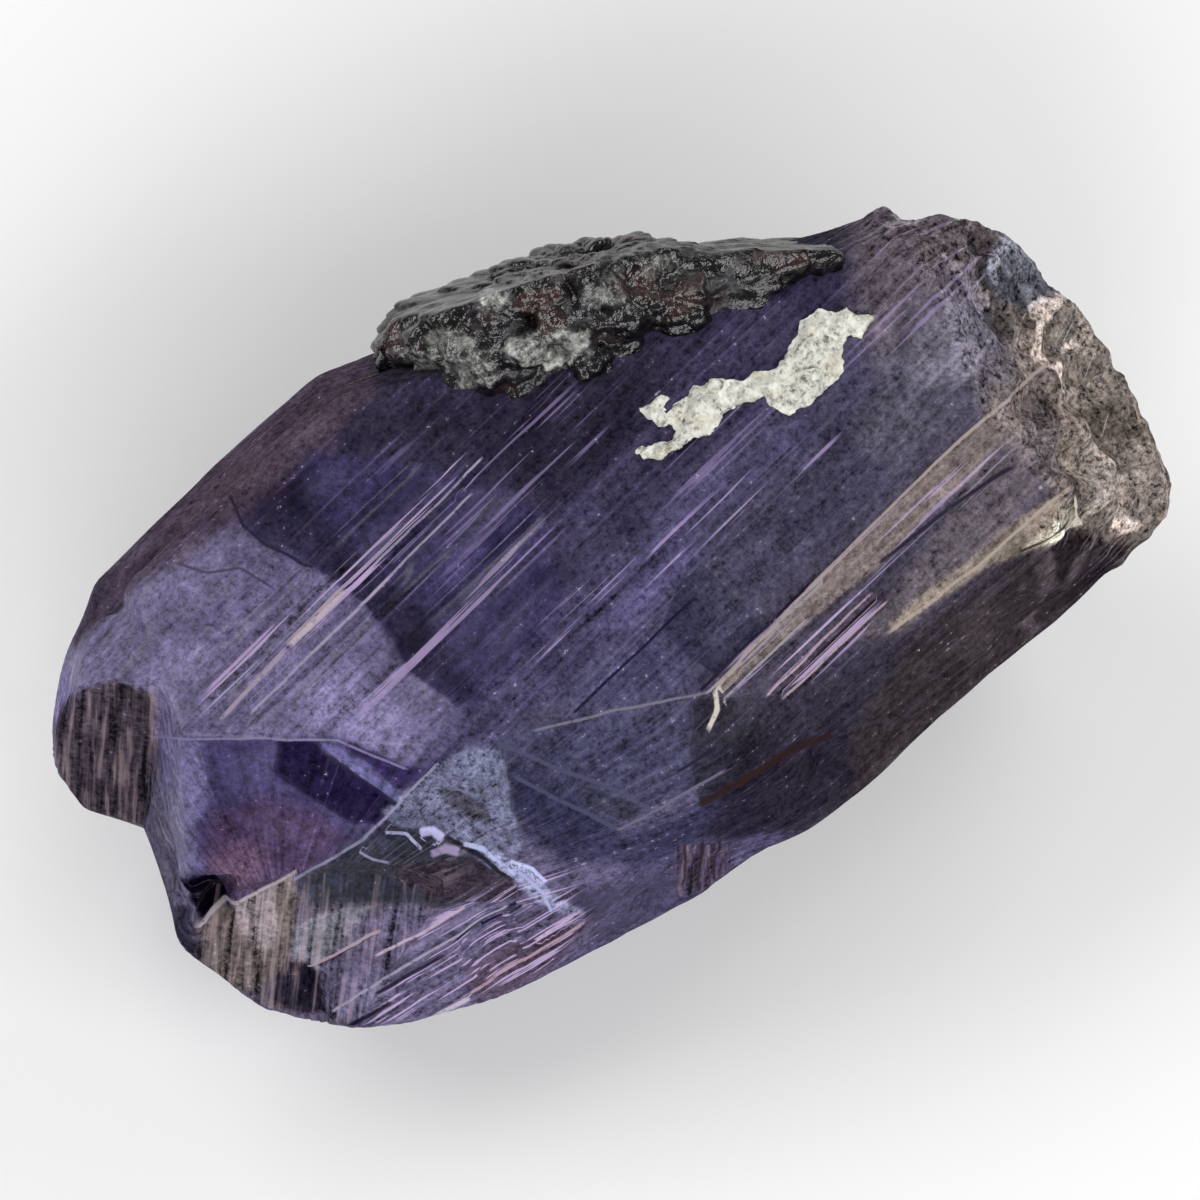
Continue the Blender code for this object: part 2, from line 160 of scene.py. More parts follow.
# Raised striae and furrows along X: face, middle X and Y, length, width, and height or depth
RIDGES = (
    ("top_back", -3.3, 2.45, 3.8, 0.24, 0.08),
    ("top_back", -2.9, 1.75, 3.0, 0.18, 0.06),
    ("top_back", 1.6, 1.10, 5.2, 0.20, 0.06),
    ("top_front", 1.6, -0.45, 6.2, 0.34, 0.07),
    ("top_front", 2.4, -1.20, 5.0, 0.24, 0.06),
    ("top_front", 2.6, -1.95, 5.4, 0.26, 0.08),
    ("long_ledge", 2.6, -2.55, 4.6, 0.22, 0.07),
    ("side", 2.6, -3.72, 4.0, 0.26, 0.07),
    ("top_back", -2.4, 3.25, 4.2, 0.34, -0.10),
    ("top_back", -3.7, 2.10, 3.4, 0.28, -0.10),
    ("top_back", -0.4, 1.42, 5.0, 0.30, -0.10),
    ("top_back", 2.4, 0.55, 5.4, 0.30, -0.09),
    ("top_front", 0.4, -0.85, 6.2, 0.34, -0.10),
    ("top_front", 2.9, -1.58, 6.4, 0.32, -0.10),
    ("long_ledge", 2.4, -2.25, 6.6, 0.26, -0.11),
    ("long_ledge", 3.6, -2.88, 5.0, 0.28, -0.11),
    ("side", 1.6, -3.95, 4.6, 0.38, -0.12),
    ("side_back", -2.2, 5.00, 5.0, 0.38, -0.14),
    ("under_side", 1.0, -3.60, 6.0, 0.40, -0.15),
    ("under_back", -0.6, 3.90, 7.0, 0.42, -0.17),
    ("keel_front", 0.0, -2.10, 6.5, 0.34, -0.13),
)

# Conchoidal hollows: face, X and Y of the middle, radius and depth
SHELL_HOLLOWS = (
    ("top_front", 0.55, -1.10, 0.80, 0.07),
    ("cleaved_left", -5.35, 0.85, 1.10, 0.06),
    ("shell_fan", -4.05, -0.95, 0.72, 0.16),
    ("striated_front", -4.60, -2.20, 0.66, 0.10),
    ("slate_bevel", -1.90, -2.10, 0.90, 0.10),
    ("lower_front", -1.10, -3.75, 0.75, 0.12),
    ("side", 4.10, -4.25, 0.75, 0.12),
    ("broken_end", 6.90, -1.10, 0.85, 0.18),
    ("broken_end_back", 7.00, 0.55, 0.50, 0.14),
    ("grey_strip", -7.05, 1.95, 0.45, 0.10),
    ("under_side", 0.60, -3.20, 1.10, 0.18),
    ("under_back", -2.60, 3.20, 1.40, 0.22),
    ("under_end", 5.70, -1.80, 1.10, 0.20),
    ("under_left_front", -5.30, -0.90, 1.00, 0.18),
    ("under_left", -6.50, 1.60, 0.80, 0.16),
)

# Angular chips: face, X and Y of the middle, radius and depth
CHIPS = (
    ("top_back", -4.49, 3.42, 0.30, 0.12),
    ("cleaved_left", -7.02, 1.05, 0.55, 0.36),
    ("ribbed_skin", -6.95, -0.62, 0.60, 0.26),
    ("upper_left_chip", -5.20, 5.00, 0.50, 0.20),
    ("broken_end", 6.35, -2.45, 0.80, 0.24),
    ("broken_end", 7.15, -2.55, 0.75, 0.26),
    ("broken_end", 6.10, -3.35, 0.60, 0.20),
    ("broken_end", 6.85, -3.30, 0.62, 0.24),
    ("broken_end", 7.15, -1.85, 0.55, 0.20),
    ("broken_end_top", 7.25, -0.10, 0.40, 0.26),
    ("broken_end_back", 6.95, 0.75, 0.42, 0.16),
    ("broken_end_low", 6.60, -3.95, 0.60, 0.20),
    ("broken_end_low", 5.60, -4.05, 0.50, 0.16),
    ("side", 0.60, -3.70, 0.50, 0.16),
    ("lower_front", -2.35, -3.35, 0.55, 0.16),
    ("left_corner", -7.45, 1.20, 0.45, 0.18),
    ("under_side", 3.60, -3.20, 1.00, 0.22),
    ("under_end_back", 6.40, -1.20, 0.90, 0.24),
    ("under_back_right", 2.60, 2.00, 1.00, 0.20),
    ("keel_left", -4.20, 0.30, 1.00, 0.16),
    ("keel_right", 3.60, -0.30, 0.90, 0.14),
)

# Ribs that run down the ribbed faces: face, compass turn across the ribs, spacing and depth
RIB_SETS = (
    ("growth", "ribbed_face", -55.5, 0.34, 0.06),
    ("prism", "ribbed_skin", -52.5, 0.30, 0.05),
)

# Turn about Z that lays the ribs' own direction across X
RIB_TURN = 55.0

# Where the finished crystal swells or shrinks towards the photograph's outline: the middle and the
# reach in pixels, and the height in millimetres
CRYSTAL_SWELLS = (
    (885, 203, 40, 30, -0.14),
    (1155, 430, 30, 50, -0.16),
    (1125, 570, 50, 40, -0.10),
    (1090, 325, 50, 45, 0.20),
    (850, 790, 130, 60, 0.14),
    (240, 460, 140, 140, 0.08),
    (60, 650, 30, 50, 0.12),
    (190, 950, 30, 50, 0.14),
    (265, 1012, 30, 20, -0.10),
    (370, 1028, 70, 30, 0.06),
)

# Slope of the striated front's lines in the photograph
FRONT_SLOPE = 31.0

# Groups of bright parallel lines, painted highlights off the striae: ends of the middle line in the
# photograph's pixels, half width in pixels and strength
HIGHLIGHT_LINE_GROUPS = {
    "bright streaks": ((205, 712), (478, 462), 20, 1.0),
    "grey streaks": ((350, 716), (560, 520), 14, 0.8),
    "band streaks": ((520, 655), (840, 425), 20, 0.7),
    "strip streaks": ((720, 685), (1010, 440), 26, 0.7),
    "rose streaks": ((770, 690), (870, 600), 22, 0.9),
    "upper streaks": ((430, 545), (590, 400), 40, 0.5),
    "patch streaks": ((640, 500), (880, 310), 30, 0.4),
    "shoulder streaks": ((320, 520), (420, 440), 20, 0.3),
    "crescent streaks": ((410, 620), (540, 500), 24, 0.4),
    "front streaks": ((320, 1000), (590, 905), 50, 0.9),
    "crest streaks": ((850, 330), (960, 240), 50, 0.5),
}

# Single strokes drawn on the photograph: colour on the screen, half width in pixels, and the ends
# of each straight run in pixels. Most light strokes are painted highlights: light along facet edges,
# glints and flashes on the fan, and reflections off the striae.
LIGHT_STROKES = {
    # Painted highlights along facet edges: crease, ridge, fan rim and rib rim, and below them bevel line,
    # strip rim and edge of strip
    "crease": ((118, 112, 128), 1.3, ((540, 727), (614, 709), (702, 692))),
    "ridge": ((134, 126, 164), 1.2, ((164, 736), (342, 737), (405, 765))),
    "fan rim": ((142, 140, 168), 1.4, ((300, 876), (366, 838), (438, 764))),
    "rib rim": ((176, 166, 174), 1.6, ((207, 918), (240, 901), (297, 871))),
    # Painted highlight on a small blade
    "blade highlight": ((205, 198, 186), 2.4, ((714, 690), (716, 708), (709, 723))),
    "bevel line": ((106, 102, 124), 1.3, ((622, 826), (718, 769))),
    "bevel ray": ((78, 78, 102), 2.2, ((504, 742), (651, 806))),
    "bevel ray two": ((76, 76, 100), 2.0, ((520, 776), (612, 824))),
    "strip rim": ((172, 158, 152), 1.8, ((716, 684), (840, 556), (933, 464), (1044, 364))),
    # Painted reflections off the striae, over their pale colour: near bar, far bar, long streak and streak
    # over crescent, and below the fan the front rays, bars and lines and the rose and white lines
    "near bar": ((206, 188, 196), 4.0, ((298, 642), (343, 596))),
    "far bar": ((176, 160, 182), 2.2, ((232, 712), (286, 656))),
    "long streak": ((170, 158, 182), 1.2, ((262, 706), (470, 497))),
    "streak over crescent": ((160, 150, 178), 1.2, ((384, 560), (480, 462))),
    # Painted glints and flashes of light on the fan: glint, the fan flashes and the fan crests
    "glint": ((150, 148, 180), 1.4, ((366, 851), (376, 857), (386, 859))),
    "fan flash": ((196, 192, 238), 3.6, ((427, 830), (434, 830), (441, 835))),
    "fan flash two": ((184, 184, 226), 1.6, ((393, 830), (409, 831), (420, 842))),
    "fan flash three": ((166, 148, 192), 3.6, ((438, 849), (447, 846), (456, 848))),
    "fan crest": ((176, 182, 222), 1.8, ((470, 845), (485, 849), (504, 861), (514, 869))),
    "fan crest two": ((190, 196, 236), 1.8, ((516, 859), (533, 866), (543, 876))),
    "fan crest three": ((164, 170, 212), 1.6, ((516, 866), (528, 876), (543, 890), (550, 905))),
    "front ray": ((184, 164, 184), 1.5, ((381, 952), (422, 931), (461, 906))),
    "front ray two": ((190, 166, 198), 1.5, ((540, 936), (576, 912))),
    "white bar": ((186, 176, 194), 2.2, ((414, 1026), (468, 998))),
    "rose bar": ((170, 144, 160), 1.4, ((474, 990), (580, 924))),
    "front line": ((156, 148, 170), 1.3, ((336, 1008), (504, 905))),
    "front line two": ((166, 148, 160), 1.6, ((312, 966), (378, 930))),
    "rose line": ((178, 152, 166), 1.2, ((768, 691), (866, 596))),
    "rose line two": ((170, 150, 160), 1.2, ((784, 694), (880, 604))),
    "white line": ((160, 156, 164), 1.2, ((708, 690), (760, 640), (822, 582))),
    "white line two": ((150, 146, 156), 1.2, ((726, 693), (800, 622))),
    "edge of strip": ((168, 154, 146), 1.6, ((890, 628), (976, 566), (1054, 494))),
    "flake rim": ((206, 198, 186), 1.8, ((1068, 500), (1081, 524), (1056, 542))),
}
DARK_STROKES = {
    "slit": ((34, 29, 52), 1.5, ((579, 706), (643, 645), (690, 600))),
    "fan shadow": ((30, 28, 36), 2.2, ((453, 840), (470, 848), (485, 855), (509, 874))),
    "front slit": ((30, 26, 50), 1.8, ((461, 934), (494, 910), (514, 901))),
    "front slit two": ((32, 28, 52), 1.6, ((485, 924), (518, 905))),
    "rust streak": ((50, 37, 37), 3.6, ((700, 800), (748, 770), (788, 745), (826, 733))),
    "front gap": ((30, 25, 38), 1.8, ((350, 1022), (386, 1002))),
    "front gap two": ((38, 32, 48), 1.6, ((322, 962), (372, 934))),
    "front gap three": ((40, 34, 52), 1.6, ((380, 990), (440, 956))),
    "flake slit": ((52, 44, 40), 1.4, ((1016, 552), (1036, 543), (1058, 526))),
    "bar shadow": ((36, 30, 44), 2.0, ((702, 686), (751, 639), (800, 592))),
    "rose shadow": ((40, 32, 44), 1.6, ((776, 693), (872, 600))),
    "strip line": ((46, 42, 58), 2.0, ((880, 560), (958, 500), (1006, 470))),
    "bevel gap": ((44, 42, 56), 1.6, ((681, 765), (708, 748))),
    "stripe shadow": ((38, 32, 62), 2.4, ((336, 756), (366, 778), (396, 799))),
    "crescent rim": ((44, 38, 56), 1.6, ((238, 505), (247, 528), (268, 546), (313, 567))),
    "wisp": ((76, 68, 92), 1.3, ((186, 566), (212, 574), (244, 570), (270, 584))),
    "comb one": ((52, 42, 54), 1.6, ((684, 846), (684, 884))),
    "comb two": ((52, 42, 54), 1.6, ((701, 844), (700, 886))),
    "comb three": ((52, 42, 54), 1.6, ((718, 842), (716, 880))),
}
FRONT_AREAS = ("striated front", "front bar", "front rust", "glass brown", "lower violet")
FAN_AREAS = ("fan", "fan edge", "glass dark")
RIB_AREAS = ("ribbed skin", "rib cream", "growth brown", "comb")

# Areas drawn on the photograph: name, colour on the screen, softness of the edge in millimetres,
# strength, clear share, and the outline in the photograph's pixels. The screen colours hold painted
# light and shade along with the stone's own colours.
ZONES = (
    # Painted light: the light violet window is painted lighter for the light that shines through the thin
    # crystal, besides its clear share
    ("light violet", (108, 101, 134), 0.06, 0.90, 0.30, (
        (77, 615), (105, 575), (173, 513), (238, 501), (245, 525), (266, 544), (313, 566), (350, 584),
        (375, 612), (400, 646), (412, 668), (468, 711), (438, 762), (405, 765), (366, 744), (342, 737),
        (164, 735), (158, 693), (114, 680), (77, 687))),
    ("lavender facet", (134, 126, 166), 0.10, 0.65, 0.25, (
        (312, 690), (350, 660), (385, 688), (420, 722), (404, 748), (345, 736), (318, 728))),
    ("dark shoulder", (44, 41, 54), 0.35, 0.90, 0.00, (
        (238, 457), (330, 370), (400, 390), (480, 400), (600, 350), (700, 345), (650, 415), (600, 470),
        (545, 505), (460, 470), (345, 452), (262, 462))),
    ("crescent", (68, 63, 94), 0.06, 0.95, 0.30, (
        (238, 501), (257, 470), (300, 457), (369, 460), (424, 466), (462, 476), (511, 491), (545, 519),
        (555, 550), (564, 594), (558, 625), (511, 674), (474, 708), (412, 668), (387, 625), (362, 594),
        (313, 566), (266, 544), (245, 525))),
    ("brown shoulder", (78, 64, 76), 0.25, 0.80, 0.00, (
        (240, 457), (330, 368), (372, 372), (340, 420), (330, 452), (280, 456), (238, 500), (200, 500))),
    ("crescent shadow", (44, 40, 56), 0.20, 0.85, 0.00, (
        (245, 525), (250, 480), (300, 470), (330, 520), (375, 575), (430, 600), (450, 650), (474, 700),
        (412, 664), (387, 622), (362, 590), (313, 562), (266, 540))),
    ("brown haze", (96, 78, 88), 0.40, 0.90, 0.00, (
        (150, 535), (183, 505), (238, 457), (290, 462), (262, 490), (230, 520), (180, 560))),
    ("rim shade", (76, 65, 78), 0.10, 0.85, 0.00, (
        (366, 358), (300, 392), (230, 452), (170, 502), (115, 556), (75, 598), (58, 640), (84, 650),
        (108, 616), (150, 582), (205, 542), (270, 488), (330, 440), (378, 396))),
    ("lavender band", (75, 71, 101), 0.22, 0.75, 0.00, (
        (412, 767), (432, 735), (520, 650), (610, 560), (680, 500), (800, 420), (835, 440), (740, 520),
        (640, 625), (560, 690), (500, 735), (450, 770))),
    ("lavender stripe", (88, 82, 119), 0.06, 0.70, 0.00, (
        (600, 622), (688, 545), (700, 556), (618, 632))),
    ("blue-grey patch", (47, 48, 69), 0.05, 0.85, 0.00, (
        (692, 555), (765, 628), (718, 680), (661, 628))),
    ("grey haze", (76, 75, 106), 0.20, 0.60, 0.00, (
        (640, 640), (661, 628), (713, 685), (671, 701), (583, 711), (560, 700), (600, 660))),
    ("teal glow", (75, 73, 103), 0.15, 0.60, 0.00, (
        (570, 510), (610, 500), (615, 530), (580, 535))),
    ("brown lane", (62, 58, 80), 0.20, 0.70, 0.00, (
        (560, 545), (640, 470), (720, 440), (760, 430), (700, 490), (620, 560), (575, 585))),
    ("slate bevel", (70, 69, 95), 0.08, 0.70, 0.00, (
        (480, 745), (510, 727), (614, 709), (692, 698), (690, 760), (700, 790), (660, 806), (620, 826),
        (560, 850), (520, 800))),
    ("bevel band", (62, 62, 84), 0.05, 0.70, 0.00, (
        (515, 762), (560, 785), (620, 820), (612, 832), (560, 806), (516, 780))),
    ("bevel green", (48, 49, 58), 0.06, 0.60, 0.00, (
        (574, 782), (600, 790), (648, 806), (628, 818), (590, 804))),
    ("bevel dark", (48, 46, 56), 0.08, 0.85, 0.00, (
        (692, 700), (760, 692), (830, 700), (850, 740), (800, 760), (748, 790), (700, 800), (690, 770))),
    ("bevel shade", (52, 52, 76), 0.15, 0.85, 0.00, (
        (510, 760), (560, 790), (620, 830), (720, 790), (760, 760), (740, 820), (640, 870), (560, 860),
        (520, 830))),
    ("lower violet", (72, 66, 96), 0.20, 0.85, 0.30, (
        (540, 892), (620, 876), (690, 860), (744, 834), (700, 890), (614, 940), (560, 950))),
    ("comb", (76, 64, 80), 0.06, 0.70, 0.00, (
        (675, 843), (732, 840), (734, 880), (680, 900))),
    # Painted shade: the lower side on the right is painted darker for facing away from the light, over its
    # own brown-grey
    ("dark lower side", (44, 40, 52), 0.15, 0.90, 0.00, (
        (740, 740), (860, 700), (900, 740), (800, 820), (740, 840), (700, 830))),
    ("cleaved light", (74, 68, 104), 0.05, 0.90, 0.35, (
        (163, 736), (342, 737), (366, 744), (405, 765), (438, 763), (399, 801), (366, 837), (300, 876),
        (207, 918), (180, 873))),
    ("cleaved pale", (113, 108, 146), 0.10, 0.80, 0.35, (
        (165, 738), (206, 738), (214, 790), (200, 826), (206, 868), (182, 870))),
    ("cleaved dark", (32, 26, 50), 0.06, 0.95, 0.00, (
        (282, 737), (318, 738), (330, 753), (365, 775), (399, 801), (380, 822), (350, 820), (330, 806),
        (306, 792), (279, 774))),
    ("cleaved lobe", (56, 46, 84), 0.06, 0.85, 0.15, (
        (342, 737), (366, 744), (405, 765), (436, 765), (411, 790), (385, 772))),
    ("cleaved red", (80, 62, 90), 0.16, 0.75, 0.15, (
        (215, 812), (260, 796), (325, 812), (350, 838), (300, 874), (232, 902), (205, 870))),
    ("cleaved rose", (112, 90, 110), 0.16, 0.60, 0.00, (
        (214, 858), (240, 838), (268, 850), (262, 876), (230, 892))),
    ("cleaved stripe", (98, 95, 138), 0.04, 0.90, 0.20, (
        (325, 741), (336, 741), (370, 762), (408, 788), (402, 797), (365, 775), (335, 752))),
    ("black corner", (15, 11, 22), 0.03, 0.98, 0.00, (
        (180, 871), (195, 879), (219, 891), (229, 903), (220, 912), (207, 917), (189, 903))),
    ("dark slate", (46, 45, 60), 0.05, 0.90, 0.00, (
        (180, 903), (190, 906), (202, 925), (204, 960), (214, 984), (196, 976), (184, 950))),
    ("growth brown", (72, 64, 74), 0.10, 0.95, 0.00, (
        (50, 735), (77, 693), (102, 683), (139, 683), (158, 711), (164, 742), (158, 786), (142, 830),
        (108, 825), (60, 815), (40, 780))),
    ("grey edge", (90, 84, 101), 0.12, 0.70, 0.00, (
        (160, 767), (173, 817), (180, 879), (183, 947), (220, 990), (190, 980), (160, 900), (150, 830))),
    ("ribbed skin", (104, 94, 94), 0.04, 0.95, 0.00, (
        (207, 918), (240, 901), (276, 882), (297, 872), (300, 900), (297, 927), (288, 960), (276, 978),
        (249, 990), (214, 981), (204, 960), (202, 930))),
    ("rib cream", (150, 138, 146), 0.05, 0.70, 0.00, (
        (234, 905), (276, 884), (280, 930), (268, 955), (244, 930))),
    ("pale slab", (128, 126, 142), 0.05, 0.85, 0.20, (
        (297, 927), (320, 912), (342, 906), (372, 903), (362, 934), (330, 957), (313, 966), (291, 957))),
    ("glass dark", (50, 52, 70), 0.07, 0.85, 0.35, (
        (366, 838), (399, 812), (470, 852), (519, 858), (519, 890), (440, 906), (372, 900), (340, 900),
        (310, 905), (300, 878), (330, 862))),
    ("glass brown", (58, 48, 58), 0.08, 0.70, 0.00, (
        (396, 862), (470, 852), (519, 862), (516, 896), (440, 900), (400, 884))),
    ("dark wedge", (40, 36, 50), 0.04, 0.95, 0.00, (
        (288, 960), (313, 969), (318, 990), (330, 1017), (306, 1020), (270, 1002), (276, 978))),
    ("front bar", (122, 118, 150), 0.05, 0.80, 0.20, (
        (315, 968), (345, 958), (384, 966), (400, 1000), (380, 1020), (331, 1016), (318, 990))),
    ("fan", (106, 108, 134), 0.04, 0.90, 0.00, (
        (384, 810), (438, 765), (470, 744), (504, 747), (512, 800), (522, 852), (480, 846), (438, 831),
        (399, 822))),
    ("fan pits", (66, 60, 66), 0.06, 0.70, 0.00, (
        (436, 786), (462, 790), (489, 806), (492, 824), (470, 822), (446, 806))),
    # Painted highlight: the fan's edge carries the blue-white sparkle of its glints in its colour
    ("fan edge", (140, 142, 176), 0.05, 0.90, 0.00, (
        (466, 834), (482, 840), (524, 862), (548, 884), (585, 912), (560, 912), (530, 895), (512, 872),
        (482, 856))),
    ("striated front", (95, 88, 115), 0.10, 0.80, 0.00, (
        (330, 957), (372, 908), (440, 908), (520, 900), (560, 906), (610, 925), (540, 980),
        (470, 1014), (400, 1030), (330, 1018), (318, 990))),
    ("front rust", (82, 68, 84), 0.08, 0.80, 0.00, (
        (468, 965), (500, 950), (560, 928), (585, 930), (540, 975), (474, 1008))),
    ("crest", (100, 91, 99), 0.30, 0.80, 0.00, (
        (850, 235), (872, 210), (932, 205), (990, 235), (975, 300), (930, 350), (880, 370), (850, 330))),
    ("smooth facet", (116, 118, 130), 0.05, 0.92, 0.00, (
        (985, 239), (1010, 246), (1054, 267), (1066, 302), (1048, 318), (1004, 306), (980, 276))),
    ("end pit", (69, 62, 65), 0.06, 0.95, 0.00, (
        (968, 228), (984, 236), (990, 252), (980, 262), (970, 246))),
    ("brown end", (156, 142, 134), 0.15, 0.90, 0.00, (
        (1000, 312), (1070, 300), (1130, 360), (1140, 410), (1180, 460), (1180, 500), (1130, 560),
        (1085, 530), (1075, 490), (1056, 450), (1056, 370), (1010, 350))),
    ("dark end", (158, 148, 141), 0.25, 0.70, 0.00, (
        (1000, 310), (1070, 310), (1120, 370), (1120, 410), (1070, 390), (1050, 350), (1010, 345))),
    ("pale end", (180, 167, 160), 0.15, 0.85, 0.00, (
        (1076, 430), (1110, 420), (1146, 450), (1160, 490), (1138, 528), (1090, 520), (1070, 470))),
    ("beige strip", (126, 114, 112), 0.04, 0.92, 0.00, (
        (1043, 362), (1052, 368), (1048, 387), (1029, 420), (986, 462), (930, 512), (880, 560),
        (840, 594), (770, 650), (721, 690), (714, 682), (780, 616), (840, 556), (933, 464), (988, 412))),
    ("strip shade", (102, 94, 99), 0.12, 0.70, 0.00, (
        (986, 454), (1040, 400), (1050, 459), (1040, 492), (986, 546), (899, 632), (850, 640),
        (894, 589), (942, 524))),
    ("beige edge", (140, 128, 118), 0.05, 0.90, 0.00, (
        (1054, 494), (1068, 497), (1081, 525), (1054, 544), (1015, 556), (977, 570), (908, 620),
        (890, 630), (884, 622), (940, 580), (1000, 528))),
    ("pale flake", (190, 182, 166), 0.04, 0.75, 0.00, (
        (1056, 500), (1066, 500), (1078, 524), (1054, 541), (1016, 552), (1040, 530))),
    ("rose edge", (76, 69, 80), 0.08, 0.60, 0.00, (
        (899, 640), (942, 605), (990, 560), (980, 580), (930, 630), (890, 655))),
    # Painted shade: this side is painted darker for facing away from the light, over its own brown-grey
    ("dark side", (60, 54, 58), 0.08, 0.92, 0.00, (
        (900, 650), (1007, 565), (1083, 530), (1140, 545), (1000, 680), (900, 775), (850, 800),
        (850, 720))),
    ("slate side", (58, 54, 68), 0.20, 0.70, 0.00, (
        (760, 700), (850, 640), (900, 640), (860, 720), (820, 740), (770, 740))),
    ("violet mid", (68, 66, 84), 0.35, 0.70, 0.00, (
        (700, 520), (800, 440), (900, 380), (960, 400), (880, 500), (800, 580), (720, 660), (690, 600))),
    ("right haze", (96, 93, 107), 0.30, 0.70, 0.00, (
        (880, 370), (910, 300), (960, 270), (1000, 312), (1010, 350), (1000, 390), (940, 440),
        (890, 470), (850, 440))),
    ("pale haze", (128, 122, 138), 0.16, 0.75, 0.00, (
        (905, 350), (950, 300), (985, 310), (1000, 345), (960, 380), (915, 388))),
)

# Matrix: a point on its seat, and the faces of the block measured from there
MATRIX_MIDDLE = np.array((3.0, 3.6, 4.3))
MATRIX_FACES = {
    "outer": (64, 22, 0.52),
    "outer_right": (44, 20, 0.76),
    "outer_left": (92, 22, 1.50),
    "left": (118, 10, 2.50),
    "end_left": (170, 20, 2.90),
    "end_right": (-8, 20, 3.30),
    "top": (70, 78, 1.80),
    "top_left": (130, 60, 2.45),
    "inner": (-118, 38, 2.20),
    "inner_left": (-150, 35, 2.70),
    "under": (64, -42, 1.05),
    "under_left": (110, -40, 1.95),
    "under_right": (30, -35, 1.15),
    "buried": (-116, -50, 1.40),
}
# Where the block swells towards the photograph's outline: middle, reach and height in millimetres
MATRIX_SWELLS = (
    (440, 285, 60, 40, 0.22),
    (520, 260, 60, 40, 0.12),
    (640, 240, 70, 30, -0.10),
    (700, 240, 60, 30, -0.10),
)

# Pale calcite grains on the matrix, in the photograph's pixels: middle, half sizes and strength
CALCITE_SPOTS = (
    (552, 352, 40, 18, 1.0),
    (414, 366, 34, 18, 0.7),
    (448, 350, 24, 16, 0.5),
    (494, 303, 16, 11, 0.9),
    (478, 372, 22, 18, 0.6),
    (606, 296, 20, 14, 0.4),
    (660, 270, 26, 16, 0.3),
)

# Outline of the white patch in the photograph's pixels, and the part of the top it lies in
PATCH_OUTLINE = (
    (638, 410), (652, 404), (667, 396), (672, 404), (688, 396), (710, 377), (724, 384),
    (741, 382), (753, 374), (775, 372), (784, 358), (792, 338), (801, 324), (816, 312),
    (830, 316), (844, 312), (856, 318), (872, 317), (866, 332), (860, 342), (848, 338),
    (838, 344), (842, 362), (840, 376), (830, 388), (820, 394), (808, 404), (792, 415),
    (780, 416), (768, 410), (763, 397), (748, 404), (734, 408), (722, 415), (715, 430),
    (705, 441), (693, 440), (684, 446), (664, 456), (645, 459), (637, 454), (652, 446),
    (672, 441), (676, 433), (668, 424), (657, 430), (648, 420),
)
PATCH_BOX = (1.1, 5.7, -0.85, 1.75)


# Numbers that repeat from run to run, and the photograph's view


def cell_number(cell, seed):
    """A repeatable number from 0 to 1 for each whole-numbered cell of three columns."""
    mixed = cell[..., 0] * 374761393 + cell[..., 1] * 668265263 + cell[..., 2] * 1442695041
    mixed = mixed + seed * 974634777
    mixed = (mixed ^ (mixed >> 13)) * 1274126177
    mixed = mixed ^ (mixed >> 16)
    return (mixed & 0xFFFFFF) / 0xFFFFFF


def soft_noise(place, size, seed):
    """Blends the numbers at the corners of each cell by 3t² - 2t³ along each side, from -1 to 1."""
    place = place / np.asarray(size, float)
    corner = np.floor(place).astype(np.int64)
    blend = place - corner
    blend = blend * blend * (3 - 2 * blend)
    total = np.zeros(place.shape[:-1])
    for number in range(8):
        step = np.array((number & 1, number >> 1 & 1, number >> 2))
        weight = np.where(step, blend, 1 - blend).prod(-1)
        total += weight * cell_number(corner + step, seed)
    return total * 2 - 1


def layered_noise(place, size, seed, layers=3):
    """Soft noise plus copies of half the size and half the height."""
    size = np.asarray(size, float)
    return sum(
        soft_noise(place, size * 0.5**layer, seed + layer) * 0.5**layer for layer in range(layers)
    )


def cell_bowls(place, size, seed, tilt=0.8, level=0.35, keep_draw=False):
    """Lowest of many bowls, one about a chance point in each cell: the squared distance from that
    point, plus a tilt and a level drawn for the cell. Sharp crests part one bowl from the next.
    keep_draw also gives the number from 0 to 1 that each bowl drew."""
    place = place / size
    home = np.floor(place).astype(np.int64)
    lowest = np.full(place.shape[:-1], 9.0)
    drawn = np.zeros(place.shape[:-1])
    for number in range(27):
        cell = home + np.array((number % 3 - 1, number // 3 % 3 - 1, number // 9 - 1))
        draws = [cell_number(cell, seed + k) for k in range(7)]
        away = place - cell - np.stack(draws[:3], -1)
        slope = (away * (np.stack(draws[3:6], -1) - 0.5)).sum(-1)
        bowl = (away**2).sum(-1) + tilt * slope + level * draws[6]
        drawn = np.where(bowl < lowest, draws[6], drawn)
        lowest = np.minimum(lowest, bowl)
    return (lowest * size, drawn) if keep_draw else lowest * size


# Points further than this from an outline all count as this far
OUTLINE_MARGIN = 200.0


def grow(value, low, high):
    """0 below low, 1 above high, and 3t² - 2t³ between."""
    t = np.clip((value - low) / (high - low), 0, 1)
    return t * t * (3 - 2 * t)


